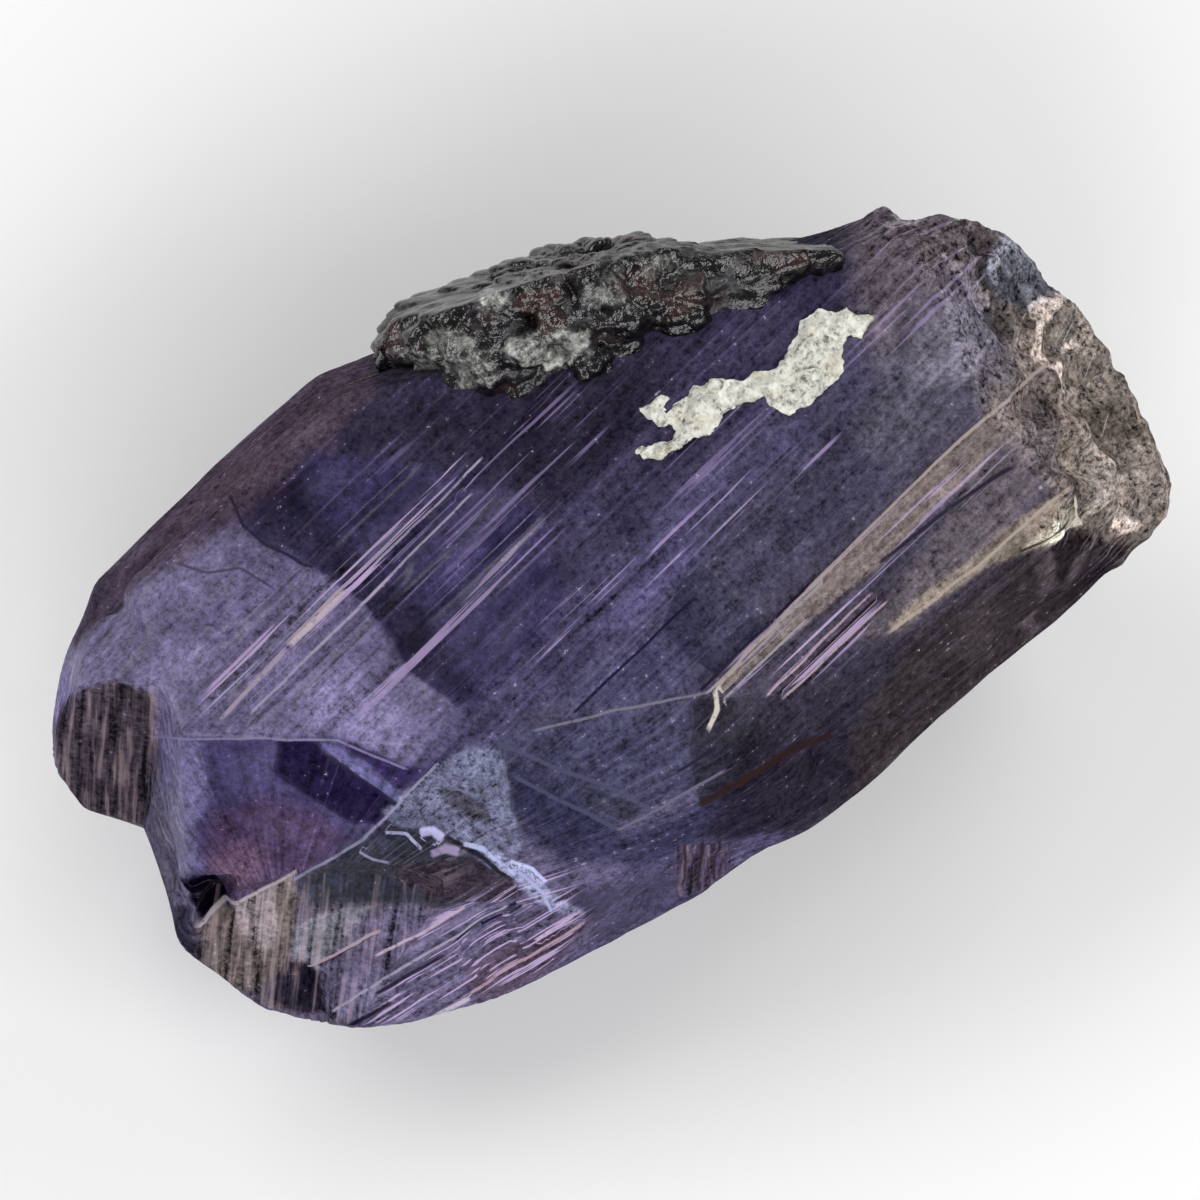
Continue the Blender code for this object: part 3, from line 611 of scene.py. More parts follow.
def inside_outline(x, y, corners):
    """How far each point lies inside a closed outline, in the outline's own unit, negative outside
    it and no lower than -OUTLINE_MARGIN."""
    corners = np.asarray(corners, float)
    low, high = corners.min(0) - OUTLINE_MARGIN, corners.max(0) + OUTLINE_MARGIN
    close = (x > low[0]) & (x < high[0]) & (y > low[1]) & (y < high[1])
    depth = np.full(x.shape, -OUTLINE_MARGIN)
    x, y = x[close], y[close]
    nearest = np.full(x.shape, OUTLINE_MARGIN)
    inside = np.zeros(x.shape, bool)
    for (ax, ay), (bx, by) in zip(corners, np.roll(corners, -1, 0)):
        long = max((bx - ax) ** 2 + (by - ay) ** 2, 1e-9)
        t = np.clip(((x - ax) * (bx - ax) + (y - ay) * (by - ay)) / long, 0, 1)
        nearest = np.minimum(nearest, np.hypot(x - ax - t * (bx - ax), y - ay - t * (by - ay)))
        if by != ay:
            inside ^= ((ay > y) != (by > y)) & (x < ax + (y - ay) * (bx - ax) / (by - ay))
    depth[close] = np.where(inside, nearest, -nearest)
    return depth


def screen_colour(colour):
    """Turns screen values of 0 to 255 into light."""
    value = np.asarray(colour, float) / 255
    return np.where(value < 0.04045, value / 12.92, ((value + 0.055) / 1.055) ** 2.4)


def own_colour(colour):
    """A matt surface's own colour where it shows as this screen colour under the studio light."""
    return np.clip((screen_colour(colour) - GLOSS) / TOP_LIGHT, 0.002, 0.9)


def skin_colour(shown, clear):
    """The frosted skin's own colour where skin and clear crystal together show as this light."""
    skin = (shown - GLOSS - clear[..., None] * INSIDE) / ((1 - clear[..., None]) * TOP_LIGHT)
    return np.clip(skin, 0.002, 0.9)


def view_axes(turn, rise):
    """Right, up and back of a view that looks from this compass turn and rise."""
    a, e = radians(turn), radians(rise)
    back = np.array((sin(a) * cos(e), -cos(a) * cos(e), sin(e)))
    right = np.array((cos(a), sin(a), 0.0))
    return right, np.cross(back, right), back


def line_axes(face, slope):
    """Three unit axes: the line in a face that shows at this slope in the photograph, the line
    across it in the face, and the face's normal."""
    turn, rise = radians(face[0]), radians(face[1])
    normal = np.array((cos(rise) * cos(turn), cos(rise) * sin(turn), sin(rise)))
    right, up, back = view_axes(PHOTO_TURN, PHOTO_RISE)
    line = cos(radians(slope)) * right + sin(radians(slope)) * up
    line = line - back * (line @ normal) / (back @ normal)
    line /= np.linalg.norm(line)
    return line, np.cross(normal, line), normal


def picture_place(points):
    """Where points show in the photograph, in pixels to the right and down."""
    right, up, back = view_axes(PHOTO_TURN, PHOTO_RISE)
    away = (points - CORE) / PIXEL
    return PHOTO_CORE[0] + away @ right, PHOTO_CORE[1] - away @ up


# Solids of flat faces, as distances along rays


def face_normals(faces):
    turn, rise, reach = np.array([row[:3] for row in faces.values()], float).T
    turn, rise = np.radians(turn), np.radians(rise)
    normals = np.stack((np.cos(turn) * np.cos(rise), np.sin(turn) * np.cos(rise), np.sin(rise)), 1)
    return normals, reach


def reach_of(rays, faces, crispness):
    """Distance to the block's surface along each ray, and each face's share of that point.
    The distance is the inverse of a power mean of (ray . normal) / reach over the faces, which
    rounds the edges a little."""
    normals, reach = face_normals(faces)
    facing = (np.clip(rays @ normals.T, 0, None) / reach) ** crispness
    total = facing.sum(-1)
    return total ** (-1 / crispness), facing / total[..., None]


def evenly_along(angles, x, y, count, weight=1.0):
    """Angles that cut the curve x, y into equal lengths, counting each length times its weight."""
    steps = np.hypot(np.diff(x), np.diff(y)) * (weight[1:] if np.ndim(weight) else weight)
    length = np.concatenate(((0,), np.cumsum(steps)))
    return np.interp(np.linspace(0, length[-1], count), length, angles)


def barrel_rays(rings, steps, half, top_weight=1.0, end_weight=1.0):
    """Rays on a grid of rings from -X to +X and steps round the X axis. They meet a rounded box of
    these half sizes at even spacing, closer together on its upper side and at its +X end."""
    tilt = np.linspace(np.pi, 0, 4000)
    reach = ((np.abs(np.cos(tilt)) / half[0]) ** 6 + (np.abs(np.sin(tilt)) / half[2]) ** 6) ** (-1 / 6)
    x = reach * np.cos(tilt)
    weight = 1 + (end_weight - 1) * grow(x, half[0] * 0.55, half[0] * 0.75)
    tilts = evenly_along(tilt, x, reach * np.sin(tilt), rings + 2, weight)[1:-1]
    turn = np.linspace(0, 2 * np.pi, 4001)
    reach = ((np.abs(np.cos(turn)) / half[1]) ** 5 + (np.abs(np.sin(turn)) / half[2]) ** 5) ** -0.2
    weight = 1 + (top_weight - 1) * grow(np.sin(turn), -0.25, 0.05)
    turns = evenly_along(turn, reach * np.cos(turn), reach * np.sin(turn), steps + 1, weight)[:-1]
    tilts, turns = np.meshgrid(tilts, turns, indexing="ij")
    return np.stack(
        (np.cos(tilts), np.sin(tilts) * np.cos(turns), np.sin(tilts) * np.sin(turns)), -1
    )


def grid_normals(points, outward):
    """Unit normals from the grid's own two directions, turned outwards."""
    along = np.gradient(points, axis=0)
    padded = np.concatenate((points[:, -1:], points, points[:, :1]), 1)
    around = padded[:, 2:] - padded[:, :-2]
    normals = np.cross(along, around)
    normals /= np.maximum(np.linalg.norm(normals, axis=-1, keepdims=True), 1e-12)
    return normals * np.sign((normals * outward).sum(-1, keepdims=True))


def closed_grid(name, points, poles):
    """A mesh object from rings of points, closed at each end by a fan to a pole."""
    rings, steps = points.shape[:2]
    corners = np.concatenate((points.reshape(-1, 3), poles))
    corners = (corners + CORE_FOOT) * MM
    ring, step = np.meshgrid(np.arange(rings - 1), np.arange(steps), indexing="ij")
    after = (step + 1) % steps
    quads = np.stack(
        (ring * steps + step, (ring + 1) * steps + step, (ring + 1) * steps + after, ring * steps + after),
        -1,
    ).reshape(-1, 4)
    step = np.arange(steps)
    after = (step + 1) % steps
    first = np.stack((np.full(steps, rings * steps), step, after), -1)
    base = (rings - 1) * steps
    last = np.stack((np.full(steps, rings * steps + 1), base + after, base + step), -1)
    return solid_mesh(name, corners, quads, np.concatenate((first, last)))


def solid_mesh(name, corners, quads, triangles):
    """Puts corners in metres and faces into a new mesh object, with the faces turned outwards."""
    p = corners[triangles]
    volume = np.einsum("ij,ij->i", p[:, 0], np.cross(p[:, 1], p[:, 2])).sum()
    if len(quads):
        p = corners[quads]
        volume += np.einsum("ij,ij->i", p[:, 0], np.cross(p[:, 1], p[:, 2])).sum()
        volume += np.einsum("ij,ij->i", p[:, 0], np.cross(p[:, 2], p[:, 3])).sum()
    if volume < 0:
        quads, triangles = quads[:, ::-1], triangles[:, ::-1]
    mesh = bpy.data.meshes.new(name)
    mesh.vertices.add(len(corners))
    mesh.vertices.foreach_set("co", corners.ravel())
    loops = np.concatenate((quads.ravel(), triangles.ravel())).astype(np.int32)
    mesh.loops.add(len(loops))
    mesh.loops.foreach_set("vertex_index", loops)
    sizes = np.concatenate((np.full(len(quads), 4), np.full(len(triangles), 3)))
    starts = np.concatenate(((0,), np.cumsum(sizes)[:-1])).astype(np.int32)
    mesh.polygons.add(len(sizes))
    mesh.polygons.foreach_set("loop_start", starts)
    mesh.update(calc_edges=True)
    mesh.validate()
    mesh.polygons.foreach_set("use_smooth", np.ones(len(mesh.polygons), bool))
    piece = bpy.data.objects.new(name, mesh)
    bpy.context.scene.collection.objects.link(piece)
    return piece


def put_values(piece, name, values):
    """Keeps one number or one colour for each corner of the piece's mesh."""
    flat = values.reshape(-1, values.shape[-1]) if values.ndim > 1 else values
    if flat.ndim > 1:
        flat = np.concatenate((flat, np.ones((len(flat), 1))), 1)
        layer = piece.data.attributes.new(name, "FLOAT_COLOR", "POINT")
        layer.data.foreach_set("color", flat.astype(np.float32).ravel())
    else:
        layer = piece.data.attributes.new(name, "FLOAT", "POINT")
        layer.data.foreach_set("value", flat.astype(np.float32))


# The crystal


def face_spot(faces, name, x, y):
    """The point above X and Y on a face, and the face's normal."""
    turn, rise, reach = faces[name][:3]
    turn, rise = radians(turn), radians(rise)
    normal = np.array((cos(turn) * cos(rise), sin(turn) * cos(rise), sin(rise)))
    z = CORE_HEIGHT + (reach - normal[0] * x - normal[1] * y) / normal[2]
    return np.array((x, y, z)), normal


def face_coordinates(points, normals, faces, name, x, y, turn):
    """Distances from a spot on a face along a turned direction, across it, and a mask that is 1
    on surface near that face and facing its way."""
    spot, normal = face_spot(faces, name, x, y)
    away = points - spot
    across = np.cross(normal, (cos(turn), sin(turn), 0.0))
    across /= np.linalg.norm(across)
    along = np.cross(across, normal)
    near = grow(normals @ normal, 0.45, 0.7) * (np.abs(away @ normal) < 0.7)
    return away @ along, away @ across, near


def end_hackle(points, end):
    """Large and small flakes of the broken end: their bowls, and the number that each drew."""
    parts = np.zeros((4, *end.shape))
    broken = end > 0
    near = points[broken]
    parts[0][broken], parts[1][broken] = cell_bowls(near * (1, 1, 1.3), 0.95, 40, 1.4, 0.5, True)
    parts[2][broken], parts[3][broken] = cell_bowls(near, 0.42, 50, 1.6, 0.6, True)
    return parts


def crystal_relief(points, normals, share, lanes, on_growth, end, hackle, settings):
    """Height of the crystal's fine forms above its flat faces, in millimetres."""
    faces = {**PRISM_FACES, **UNDER_FACES}
    height = np.zeros(points.shape[:-1])
    for face, x, y, length, width, rise in RIDGES:
        along, across, near = face_coordinates(points, normals, faces, face, x, y, 0.0)
        body = np.clip(1 - (2 * along / length) ** 2, 0, 1) ** 0.5
        height += near * rise * body * np.clip(1 - np.abs(2 * across / width), 0, 1)
    for index, (face, x, y, radius, depth) in enumerate(SHELL_HOLLOWS):
        along, across, near = face_coordinates(points, normals, faces, face, x, y, index * 2.4)
        wobble = 1 + 0.18 * soft_noise(points, radius * 0.7, 300 + index)
        far = np.hypot(along / 1.3, across / 0.8) / radius * wobble
        ripple = 0.06 * np.sin(far * 16) * np.clip(1 - far, 0, 1)
        height -= near * depth * (np.clip(1 - far**2, 0, 1) + ripple)
    for index, (face, x, y, radius, depth) in enumerate(CHIPS):
        along, across, near = face_coordinates(points, normals, faces, face, x, y, index * 2.4)
        far = np.zeros(along.shape)
        for side in range(5):
            turn = side * 1.257 + 0.5 * sin(7.0 * (index + side))
            size = radius * (0.85 + 0.25 * sin(5.0 * index + 3.0 * side))
            far = np.maximum(far, (along * cos(turn) + across * sin(turn)) / size)
        height -= near * depth * np.clip(1.5 * (1 - far), 0, 1)

    crescent = next(row[-1] for row in ZONES if row[0] == "crescent")
    inside = inside_outline(*picture_place(points), crescent) * PIXEL
    upper = grow(normals[..., 2], 0.7, 0.9) * (1 - on_growth)
    upper = upper * (1 - grow(picture_place(points)[0], *CRESCENT_END))
    height -= upper * 0.03 * grow(inside, -0.03, 0.05) * (1 - 0.5 * grow(inside, 0.1, 1.2))

    lengthwise = sum(
        share[name]
        for name in (
            "top_back", "top_front", "long_ledge", "side", "side_back", "matrix_seat",
            "slate_bevel", "lower_front", "striated_front", "under_side", "under_back",
            "keel_front", "keel_back", "under_front",
        )
    )
    lane = lanes * (0.16, 1, 1)
    striae = soft_noise(lane, 0.55, 11) * 0.25 + soft_noise(lane * (1.4, 1, 1), 0.24, 12) * 0.25
    striae += soft_noise(lane * (2.2, 1, 1), 0.16, 13) * 0.12
    x, y = picture_place(points)
    smooth_area = next(row[-1] for row in ZONES if row[0] == "light violet")
    smooth_area = grow(inside_outline(x, y, smooth_area), -5, 25)
    height += settings.stria_height / MM * lengthwise * striae * (1 - 0.65 * smooth_area)

    height += settings.hackle_height * end * (hackle[0] + 0.7 * hackle[2] - 0.05)
    height += 0.025 * end * layered_noise(points, 0.2, 60)

    for body, name, turn, spacing, depth in RIB_SETS:
        mask = share[name] * (on_growth if body == "growth" else 1)
        across = points[..., 0] * cos(radians(turn)) + points[..., 1] * sin(radians(turn))
        wander = 0.3 * soft_noise(points, (0.6, 0.6, 3.0), 71)
        wave = np.abs(((across / spacing + wander) % 1.0) - 0.5) * 2
        height -= mask * depth * (1 - wave) * (0.6 + 0.4 * soft_noise(points, 0.3, 72))

    fan = share["shell_fan"]
    height += 0.10 * fan * (cell_bowls(points, 0.5, 80, 1.5) - 0.1)
    for px, py, wide, tall, rise in CRYSTAL_SWELLS:
        height += rise * np.exp(-(((x - px) / wide) ** 2) - ((y - py) / tall) ** 2)
    under = grow(-normals[..., 2], 0.15, 0.5) * grow(points[..., 2], 0.05, 0.6)
    height += 0.05 * under * (cell_bowls(points, 1.3, 85) - 0.3)
    height += 0.012 * layered_noise(points, 0.9, 90, 3)
    return height


def crystal_colours(points, normals, shares, on_growth, lanes, hackle):
    """Each corner's skin colour, its clear share, and how far it lies inside the crisp light and
    dark areas. The colours of the faces come first, then the areas drawn on the photograph are laid
    over the side that it shows, in order, and last come bands along X and clouds."""
    prism_share, growth_share = shares
    faces = {**PRISM_FACES, **UNDER_FACES}
    shown = prism_share @ screen_colour([row[3] for row in faces.values()])
    other = growth_share @ screen_colour([row[3] for row in GROWTH_FACES.values()])
    shown = shown + (other - shown) * on_growth[..., None]
    x, y = picture_place(points)
    wander = np.stack([layered_noise(points, 0.4, 100 + 10 * k) for k in range(2)], -1) * 3
    x, y = x + wander[..., 0], y + wander[..., 1]
    back = view_axes(PHOTO_TURN, PHOTO_RISE)[2]
    seen = grow(normals @ back, 0.0, 0.15)
    clear = SIDE_CLEARNESS * (1 - seen)
    edges = {"light": np.full(on_growth.shape, -0.3), "dark": np.full(on_growth.shape, -0.3)}
    for name, colour, softness, strength, clearness, outline in ZONES:
        inside = inside_outline(x, y, outline) * PIXEL
        mask = grow(inside, -softness, softness) * strength * seen
        shown = shown + (screen_colour(colour) - shown) * mask[..., None]
        clear = clear + (clearness - clear) * mask
        for kind, names in (("light", LIGHT_AREAS), ("dark", DARK_AREAS)):
            if name in names:
                limited = np.clip(np.where(seen > 0.5, inside, -0.3), -0.3, 0.3)
                edges[kind] = np.maximum(edges[kind], limited)
    lane = lanes * (0.08, 1, 1)
    bands = soft_noise(lane, 0.30, 130) * 0.6 + soft_noise(lane * (1.6, 1, 1), 0.14, 131) * 0.5
    clouds = layered_noise(points, 0.7, 140, 4)
    wisps = 1 - grow(np.abs(layered_noise(points * (1, 1, 1.5), 0.55, 150, 3)), 0.0, 0.10)
    mottle = layered_noise(points * (0.8, 1, 1), 0.22, 160, 2)
    shade = 1 + 0.16 * bands + 0.20 * clouds - 0.18 * wisps * grow(clouds, -0.3, 0.2)
    shade = shade + 0.22 * mottle
    end = grow(x, *END_FROM) * (1 - grow(x + y, *END_BELOW)) + grow(points[..., 0], 6.0, 6.8)
    end = np.clip(end, 0, 1)
    end = end * (hackle[3] > 0)
    big, flakes = hackle[1], hackle[3]
    pale = grow(flakes, 0.70, 0.76)
    shade = shade * (1 + end * (0.8 * (flakes - 0.5) + 0.6 * (big - 0.5) + 0.9 * pale))
    clear = np.where(clear > 0.03, np.clip(clear * (1 + 0.2 * clouds), 0, 0.85), 0.0)
    skin = skin_colour(shown * np.clip(shade, 0.35, 2.4)[..., None], clear)
    lighter = grow(edges["light"], -0.03, 0.03)[..., None]
    darker = grow(edges["dark"], -0.03, 0.03)[..., None]
    skin = skin / (1 + (CRISP_LIGHT - 1) * lighter) / (1 + (CRISP_DARK - 1) * darker)
    front = {}
    for kind, names in (("front", FRONT_AREAS), ("fan", FAN_AREAS)):
        front[kind] = np.zeros(x.shape)
        for row in ZONES:
            if row[0] in names:
                inside = grow(inside_outline(x, y, row[-1]), -6, 6) * seen
                front[kind] = np.maximum(front[kind], inside)
    return skin, clear, {**edges, **front, "shown": seen}


def stroke_marks(points, seen, strokes):
    """Each corner's distance across its nearest stroke, in half widths and signed by the side it
    lies on, how much it lies beside that stroke, and the stroke's colour."""
    x, y = picture_place(points)
    wander = layered_noise(points, 0.5, 170, 2)
    side, nearest = np.full((2, *x.shape), 99.0)
    tint = np.zeros((*x.shape, 3))
    for colour, half, corners in strokes.values():
        for (ax, ay), (bx, by) in zip(corners, corners[1:]):
            long = np.hypot(bx - ax, by - ay)
            along = ((x - ax) * (bx - ax) + (y - ay) * (by - ay)) / long
            across = ((x - ax) * (by - ay) - (y - ay) * (bx - ax)) / long + wander
            past = np.clip(np.maximum(-along, along - long), 0, None)
            far = np.hypot(across, past * 1.5)
            closer = far < nearest
            nearest = np.where(closer, far, nearest)
            side = np.where(closer, across / half, side)
            tint = np.where(closer[..., None], own_colour(colour), tint)
    return side, grow(9 - nearest, 0, 3) * seen, tint


def highlight_line_strength(points, normals):
    """How many bright lines, painted highlights off the striae, cross each corner: full along the
    middle of each group and none past its edge."""
    x, y = picture_place(points)
    strength = np.full(x.shape, 0.12)
    for (ax, ay), (bx, by), half, height in HIGHLIGHT_LINE_GROUPS.values():
        long = np.hypot(bx - ax, by - ay)
        along = ((x - ax) * (bx - ax) + (y - ay) * (by - ay)) / long
        across = ((x - ax) * (by - ay) - (y - ay) * (bx - ax)) / long
        mask = grow(along, -20, 30) * grow(long - along, -20, 30) * grow(half - np.abs(across), -4, 8)
        strength = np.maximum(strength, height * mask)
    return strength * grow(normals[..., 2], 0.1, 0.4)


def make_crystal_mesh(settings):
    """The star-shaped union of the prism and its growth about the core, with relief along the
    normals."""
    rays = barrel_rays(290, 338, (7.7, 5.0, 3.3), 2.2, 1.4)
    faces = {**PRISM_FACES, **UNDER_FACES}
    prism, prism_share = reach_of(rays, faces, CRISPNESS)
    growth, growth_share = reach_of(rays, GROWTH_FACES, CRISPNESS)
    on_growth = grow(growth - prism, 0.0, 0.04)
    points = CORE + rays * np.maximum(prism, growth)[..., None]
    normals = grid_normals(points, rays)
    names = list(faces)
    share = {name: prism_share[..., k] * (1 - on_growth) for k, name in enumerate(names)}
    for k, name in enumerate(GROWTH_FACES):
        share[name] = share.get(name, 0) + growth_share[..., k] * on_growth
    middle = points.shape[0] // 2
    ring = points[middle]
    girth = np.cumsum(np.linalg.norm(ring - np.roll(ring, 1, 0), axis=1))
    turn = 2 * np.pi * girth / girth[-1]
    round_x = np.stack((np.cos(turn), np.sin(turn)), -1) * girth[-1] / (2 * np.pi)
    round_x = np.broadcast_to(round_x, (*points.shape[:2], 2))
    lanes = np.concatenate((points[..., :1], round_x), -1)
    end = share["broken_end"] + share["broken_end_top"] + share["broken_end_low"]
    end = end + 0.8 * share["broken_end_back"] + 0.8 * share["under_end"] + share["under_end_front"]
    end = np.clip(end + share["under_end_back"] + 0.5 * grow(points[..., 0], 5.6, 6.8), 0, 1)
    hackle = end_hackle(points, end)
    relief = crystal_relief(points, normals, share, lanes, on_growth, end, hackle, settings)
    relief = np.where(share["rest"] > 0.5, np.minimum(relief, 0), relief)
    finished = points + normals * relief[..., None]
    finished[..., 2] = np.maximum(finished[..., 2], 0.0)
    poles = finished[(0, -1), :].mean(1)
    piece = closed_grid("crystal_body", finished, poles)
    shares = (prism_share, growth_share)
    skin, clear, edges = crystal_colours(points, normals, shares, on_growth, lanes, hackle)

    def with_poles(values):
        flat = values.reshape(-1, *values.shape[2:])
        return np.concatenate((flat, values[(0, -1), :].mean(1)))

    ribs = np.clip(share["ribbed_face"] * on_growth + share["ribbed_skin"], 0, 1)
    for name in RIB_AREAS:
        outline = next(row[-1] for row in ZONES if row[0] == name)
        inside = grow(inside_outline(*picture_place(points), outline), -3, 3)
        ribs = np.maximum(ribs, inside * edges["shown"])
    put_values(piece, "tint", with_poles(skin))
    put_values(piece, "lanes", with_poles(lanes))
    put_values(piece, "clear", with_poles(clear))
    put_values(piece, "light_edge", with_poles(edges["light"]))
    put_values(piece, "dark_edge", with_poles(edges["dark"]))
    put_values(piece, "broken", with_poles(np.maximum(end, 0.45 * edges["fan"])))
    put_values(piece, "front", with_poles(edges["front"]))
    for kind, strokes in (("light", LIGHT_STROKES), ("dark", DARK_STROKES)):
        side, beside, stroke_tint = stroke_marks(points, edges["shown"], strokes)
        put_values(piece, kind + "_side", with_poles(side))
        put_values(piece, kind + "_beside", with_poles(beside))
        put_values(piece, kind + "_tint", with_poles(stroke_tint))
    put_values(piece, "ribbed", with_poles(ribs))
    put_values(piece, "lined", with_poles(highlight_line_strength(points, normals) * (1 - ribs)))
    return piece


def crystal_reach(places):
    """How far the crystal's flat faces lie from the core towards each place."""
    away = places - CORE
    far = np.linalg.norm(away, axis=-1)
    rays = away / np.maximum(far, 1e-9)[..., None]
    prism = reach_of(rays, {**PRISM_FACES, **UNDER_FACES}, CRISPNESS)[0]
    growth = reach_of(rays, GROWTH_FACES, CRISPNESS)[0]
    return rays, far, np.maximum(prism, growth)


# Matrix and calcite


def make_matrix_mesh(settings):
    """A star-shaped block about a point on the seat, raised in angular grains and trimmed to the
    crystal."""
    rays = barrel_rays(250, 390, (3.3, 2.2, 2.0), 1.5, 1.0)
    turn = np.array(((0.78, -0.62, 0.0), (0.62, 0.78, 0.0), (0.0, 0.0, 1.0)))
    rays = rays @ turn.T
    reach = reach_of(rays, MATRIX_FACES, 60)[0]
    points = MATRIX_MIDDLE + rays * reach[..., None]
    x, y = picture_place(points)
    swell = sum(
        height * np.exp(-(((x - px) / wide) ** 2) - ((y - py) / tall) ** 2)
        for px, py, wide, tall, height in MATRIX_SWELLS
    )
    coarse, coarse_draw = cell_bowls(points, 0.42, 201, 1.5, 0.6, keep_draw=True)
    fine, fine_draw = cell_bowls(points, 0.19, 211, 1.8, 0.7, keep_draw=True)
    lumps = 0.30 - 0.85 * coarse - 0.75 * fine + 0.10 * layered_noise(points, 0.7, 221)
    points = points + rays * (lumps * settings.grain_height + swell)[..., None]
    x, y = picture_place(points)
    calcite = np.zeros(reach.shape)
    for px, py, wide, tall, strength in CALCITE_SPOTS:
        far = np.hypot((x - px) / wide, (y - py) / tall) + 0.45 * layered_noise(points, 0.22, 231)
        calcite = np.maximum(calcite, strength * grow(1.1 - far, 0.0, 0.25))
    upper = grow(points[..., 2], 5.0, 5.6)
    calcite = calcite * upper
    points = points + rays * (0.04 * calcite)[..., None]
    outward, far, limit = crystal_reach(points)
    low = far < limit - 0.03
    points = np.where(low[..., None], CORE + outward * (limit - 0.03)[..., None], points)
    piece = closed_grid("matrix_crust", points, points[(0, -1), :].mean(1))

    def with_poles(values):
        flat = values.reshape(-1, *values.shape[2:])
        return np.concatenate((flat, values[(0, -1), :].mean(1)))

    put_values(piece, "calcite", with_poles(calcite))
    put_values(piece, "grains", with_poles(0.45 * coarse_draw + 0.55 * fine_draw))
    put_values(piece, "lump", with_poles(lumps))
    return piece


def make_patch_mesh(settings):
    """A crust over the outline drawn on the top. Its height grows as the root of how far a point
    lies inside that outline, broken into angular crumbs, and its rim is moved onto the outline."""
    nx, ny = 330, 190
    x, y = np.meshgrid(
        np.linspace(*PATCH_BOX[:2], nx), np.linspace(*PATCH_BOX[2:], ny), indexing="ij"
    )

    def seat_of(x, y):
        rays, far, limit = crystal_reach(np.stack((x, y, np.full(x.shape, 6.35)), -1))
        return CORE + rays * limit[..., None]

    def cover(x, y):
        seat = seat_of(x, y)
        ragged = 0.05 * layered_noise(seat, 0.16, 401, 3)
        return inside_outline(*picture_place(seat), PATCH_OUTLINE) * PIXEL + ragged + 0.01

    inside = cover(x, y)
    step = 0.004
    slope_x = (cover(x + step, y) - cover(x - step, y)) / (2 * step)
    slope_y = (cover(x, y + step) - cover(x, y - step)) / (2 * step)
    steep = np.maximum(slope_x**2 + slope_y**2, 0.3)
    keep = inside > 0
    cells = keep[:-1, :-1] | keep[1:, :-1] | keep[:-1, 1:] | keep[1:, 1:]
    x = np.where(keep, x, x - np.clip(inside * slope_x / steep, -0.012, 0.012))
    y = np.where(keep, y, y - np.clip(inside * slope_y / steep, -0.012, 0.012))
    seat = seat_of(x, y)
    coarse = cell_bowls(seat, 0.26, 421, 1.6, 0.8)
    crumbs, draw = cell_bowls(seat, 0.12, 431, 1.8, 0.8, keep_draw=True)
    inner = grow(inside, 0.0, 0.07)
    rise = settings.crumb_height * (0.10 - 0.8 * coarse - 0.6 * crumbs)
    thick = np.sqrt(np.clip(inside, 0, 0.35)) * 0.34 + inner * rise
    top = seat + np.array((0, 0, 1)) * (np.where(keep, np.clip(thick, 0.025, None), 0) - 0.01)[..., None]
    bottom = seat - np.array((0, 0, 1)) * np.where(keep, 0.05, 0.01)[..., None]
    index = -np.ones(keep.shape, int)
    used = np.zeros(keep.shape, bool)
    for dx in (0, 1):
        for dy in (0, 1):
            used[dx : nx - 1 + dx, dy : ny - 1 + dy] |= cells
    index[used] = np.arange(used.sum())
    lower = index.copy()
    inner = used & keep
    lower[inner] = used.sum() + np.arange(inner.sum())
    corners = (np.concatenate((top[used], bottom[inner])) + CORE_FOOT) * MM

    def quads_of(table):
        quads = np.stack((table[:-1, :-1], table[1:, :-1], table[1:, 1:], table[:-1, 1:]), -1)
        return quads[cells]

    quads = np.concatenate((quads_of(index), quads_of(lower)[:, ::-1]))
    piece = solid_mesh("calcite_crust", corners, quads, np.zeros((0, 3), int))
    put_values(piece, "crumbs", np.concatenate((draw[used], draw[inner])))
    return piece


# Materials

# Places on a scale of tone from 0 to 1, and the colours there
DARK_ROCK_STOPS = (
    (0.24, own_colour((9, 8, 10))),
    (0.48, own_colour((32, 29, 33))),
    (0.68, own_colour((56, 53, 58))),
    (0.84, own_colour((118, 116, 122))),
)
CALCITE_STOPS = (
    (0.20, own_colour((60, 58, 60))),
    (0.42, own_colour((136, 137, 133))),
    (0.62, own_colour((186, 188, 181))),
    (0.80, own_colour((228, 229, 222))),
)
CRUST_STOPS = (
    (0.12, own_colour((110, 106, 100))),
    (0.32, own_colour((186, 185, 177))),
    (0.52, own_colour((222, 221, 212))),
    (0.80, own_colour((240, 238, 229))),
)


class Wire:
    """A value in a material's nodes that Python's arithmetic works on."""

    def __init__(self, board, socket):
        self.board = board
        self.socket = socket

    def sum_node(self, operation, *others):
        return self.board.node("ShaderNodeMath", {"operation": operation}, dict(enumerate(others)))

    def __add__(self, other):
        return self.sum_node("ADD", self, other)

    def __radd__(self, other):
        return self.sum_node("ADD", other, self)

    def __sub__(self, other):
        return self.sum_node("SUBTRACT", self, other)

    def __rsub__(self, other):
        return self.sum_node("SUBTRACT", other, self)

    def __mul__(self, other):
        return self.sum_node("MULTIPLY", self, other)

    def __rmul__(self, other):
        return self.sum_node("MULTIPLY", other, self)

    def __truediv__(self, other):
        return self.sum_node("DIVIDE", self, other)

    def __pow__(self, other):
        return self.sum_node("POWER", self, other)

    def __abs__(self):
        return self.sum_node("ABSOLUTE", self)

    def most(self, other):
        return self.sum_node("MAXIMUM", self, other)

    def least(self, other):
        return self.sum_node("MINIMUM", self, other)


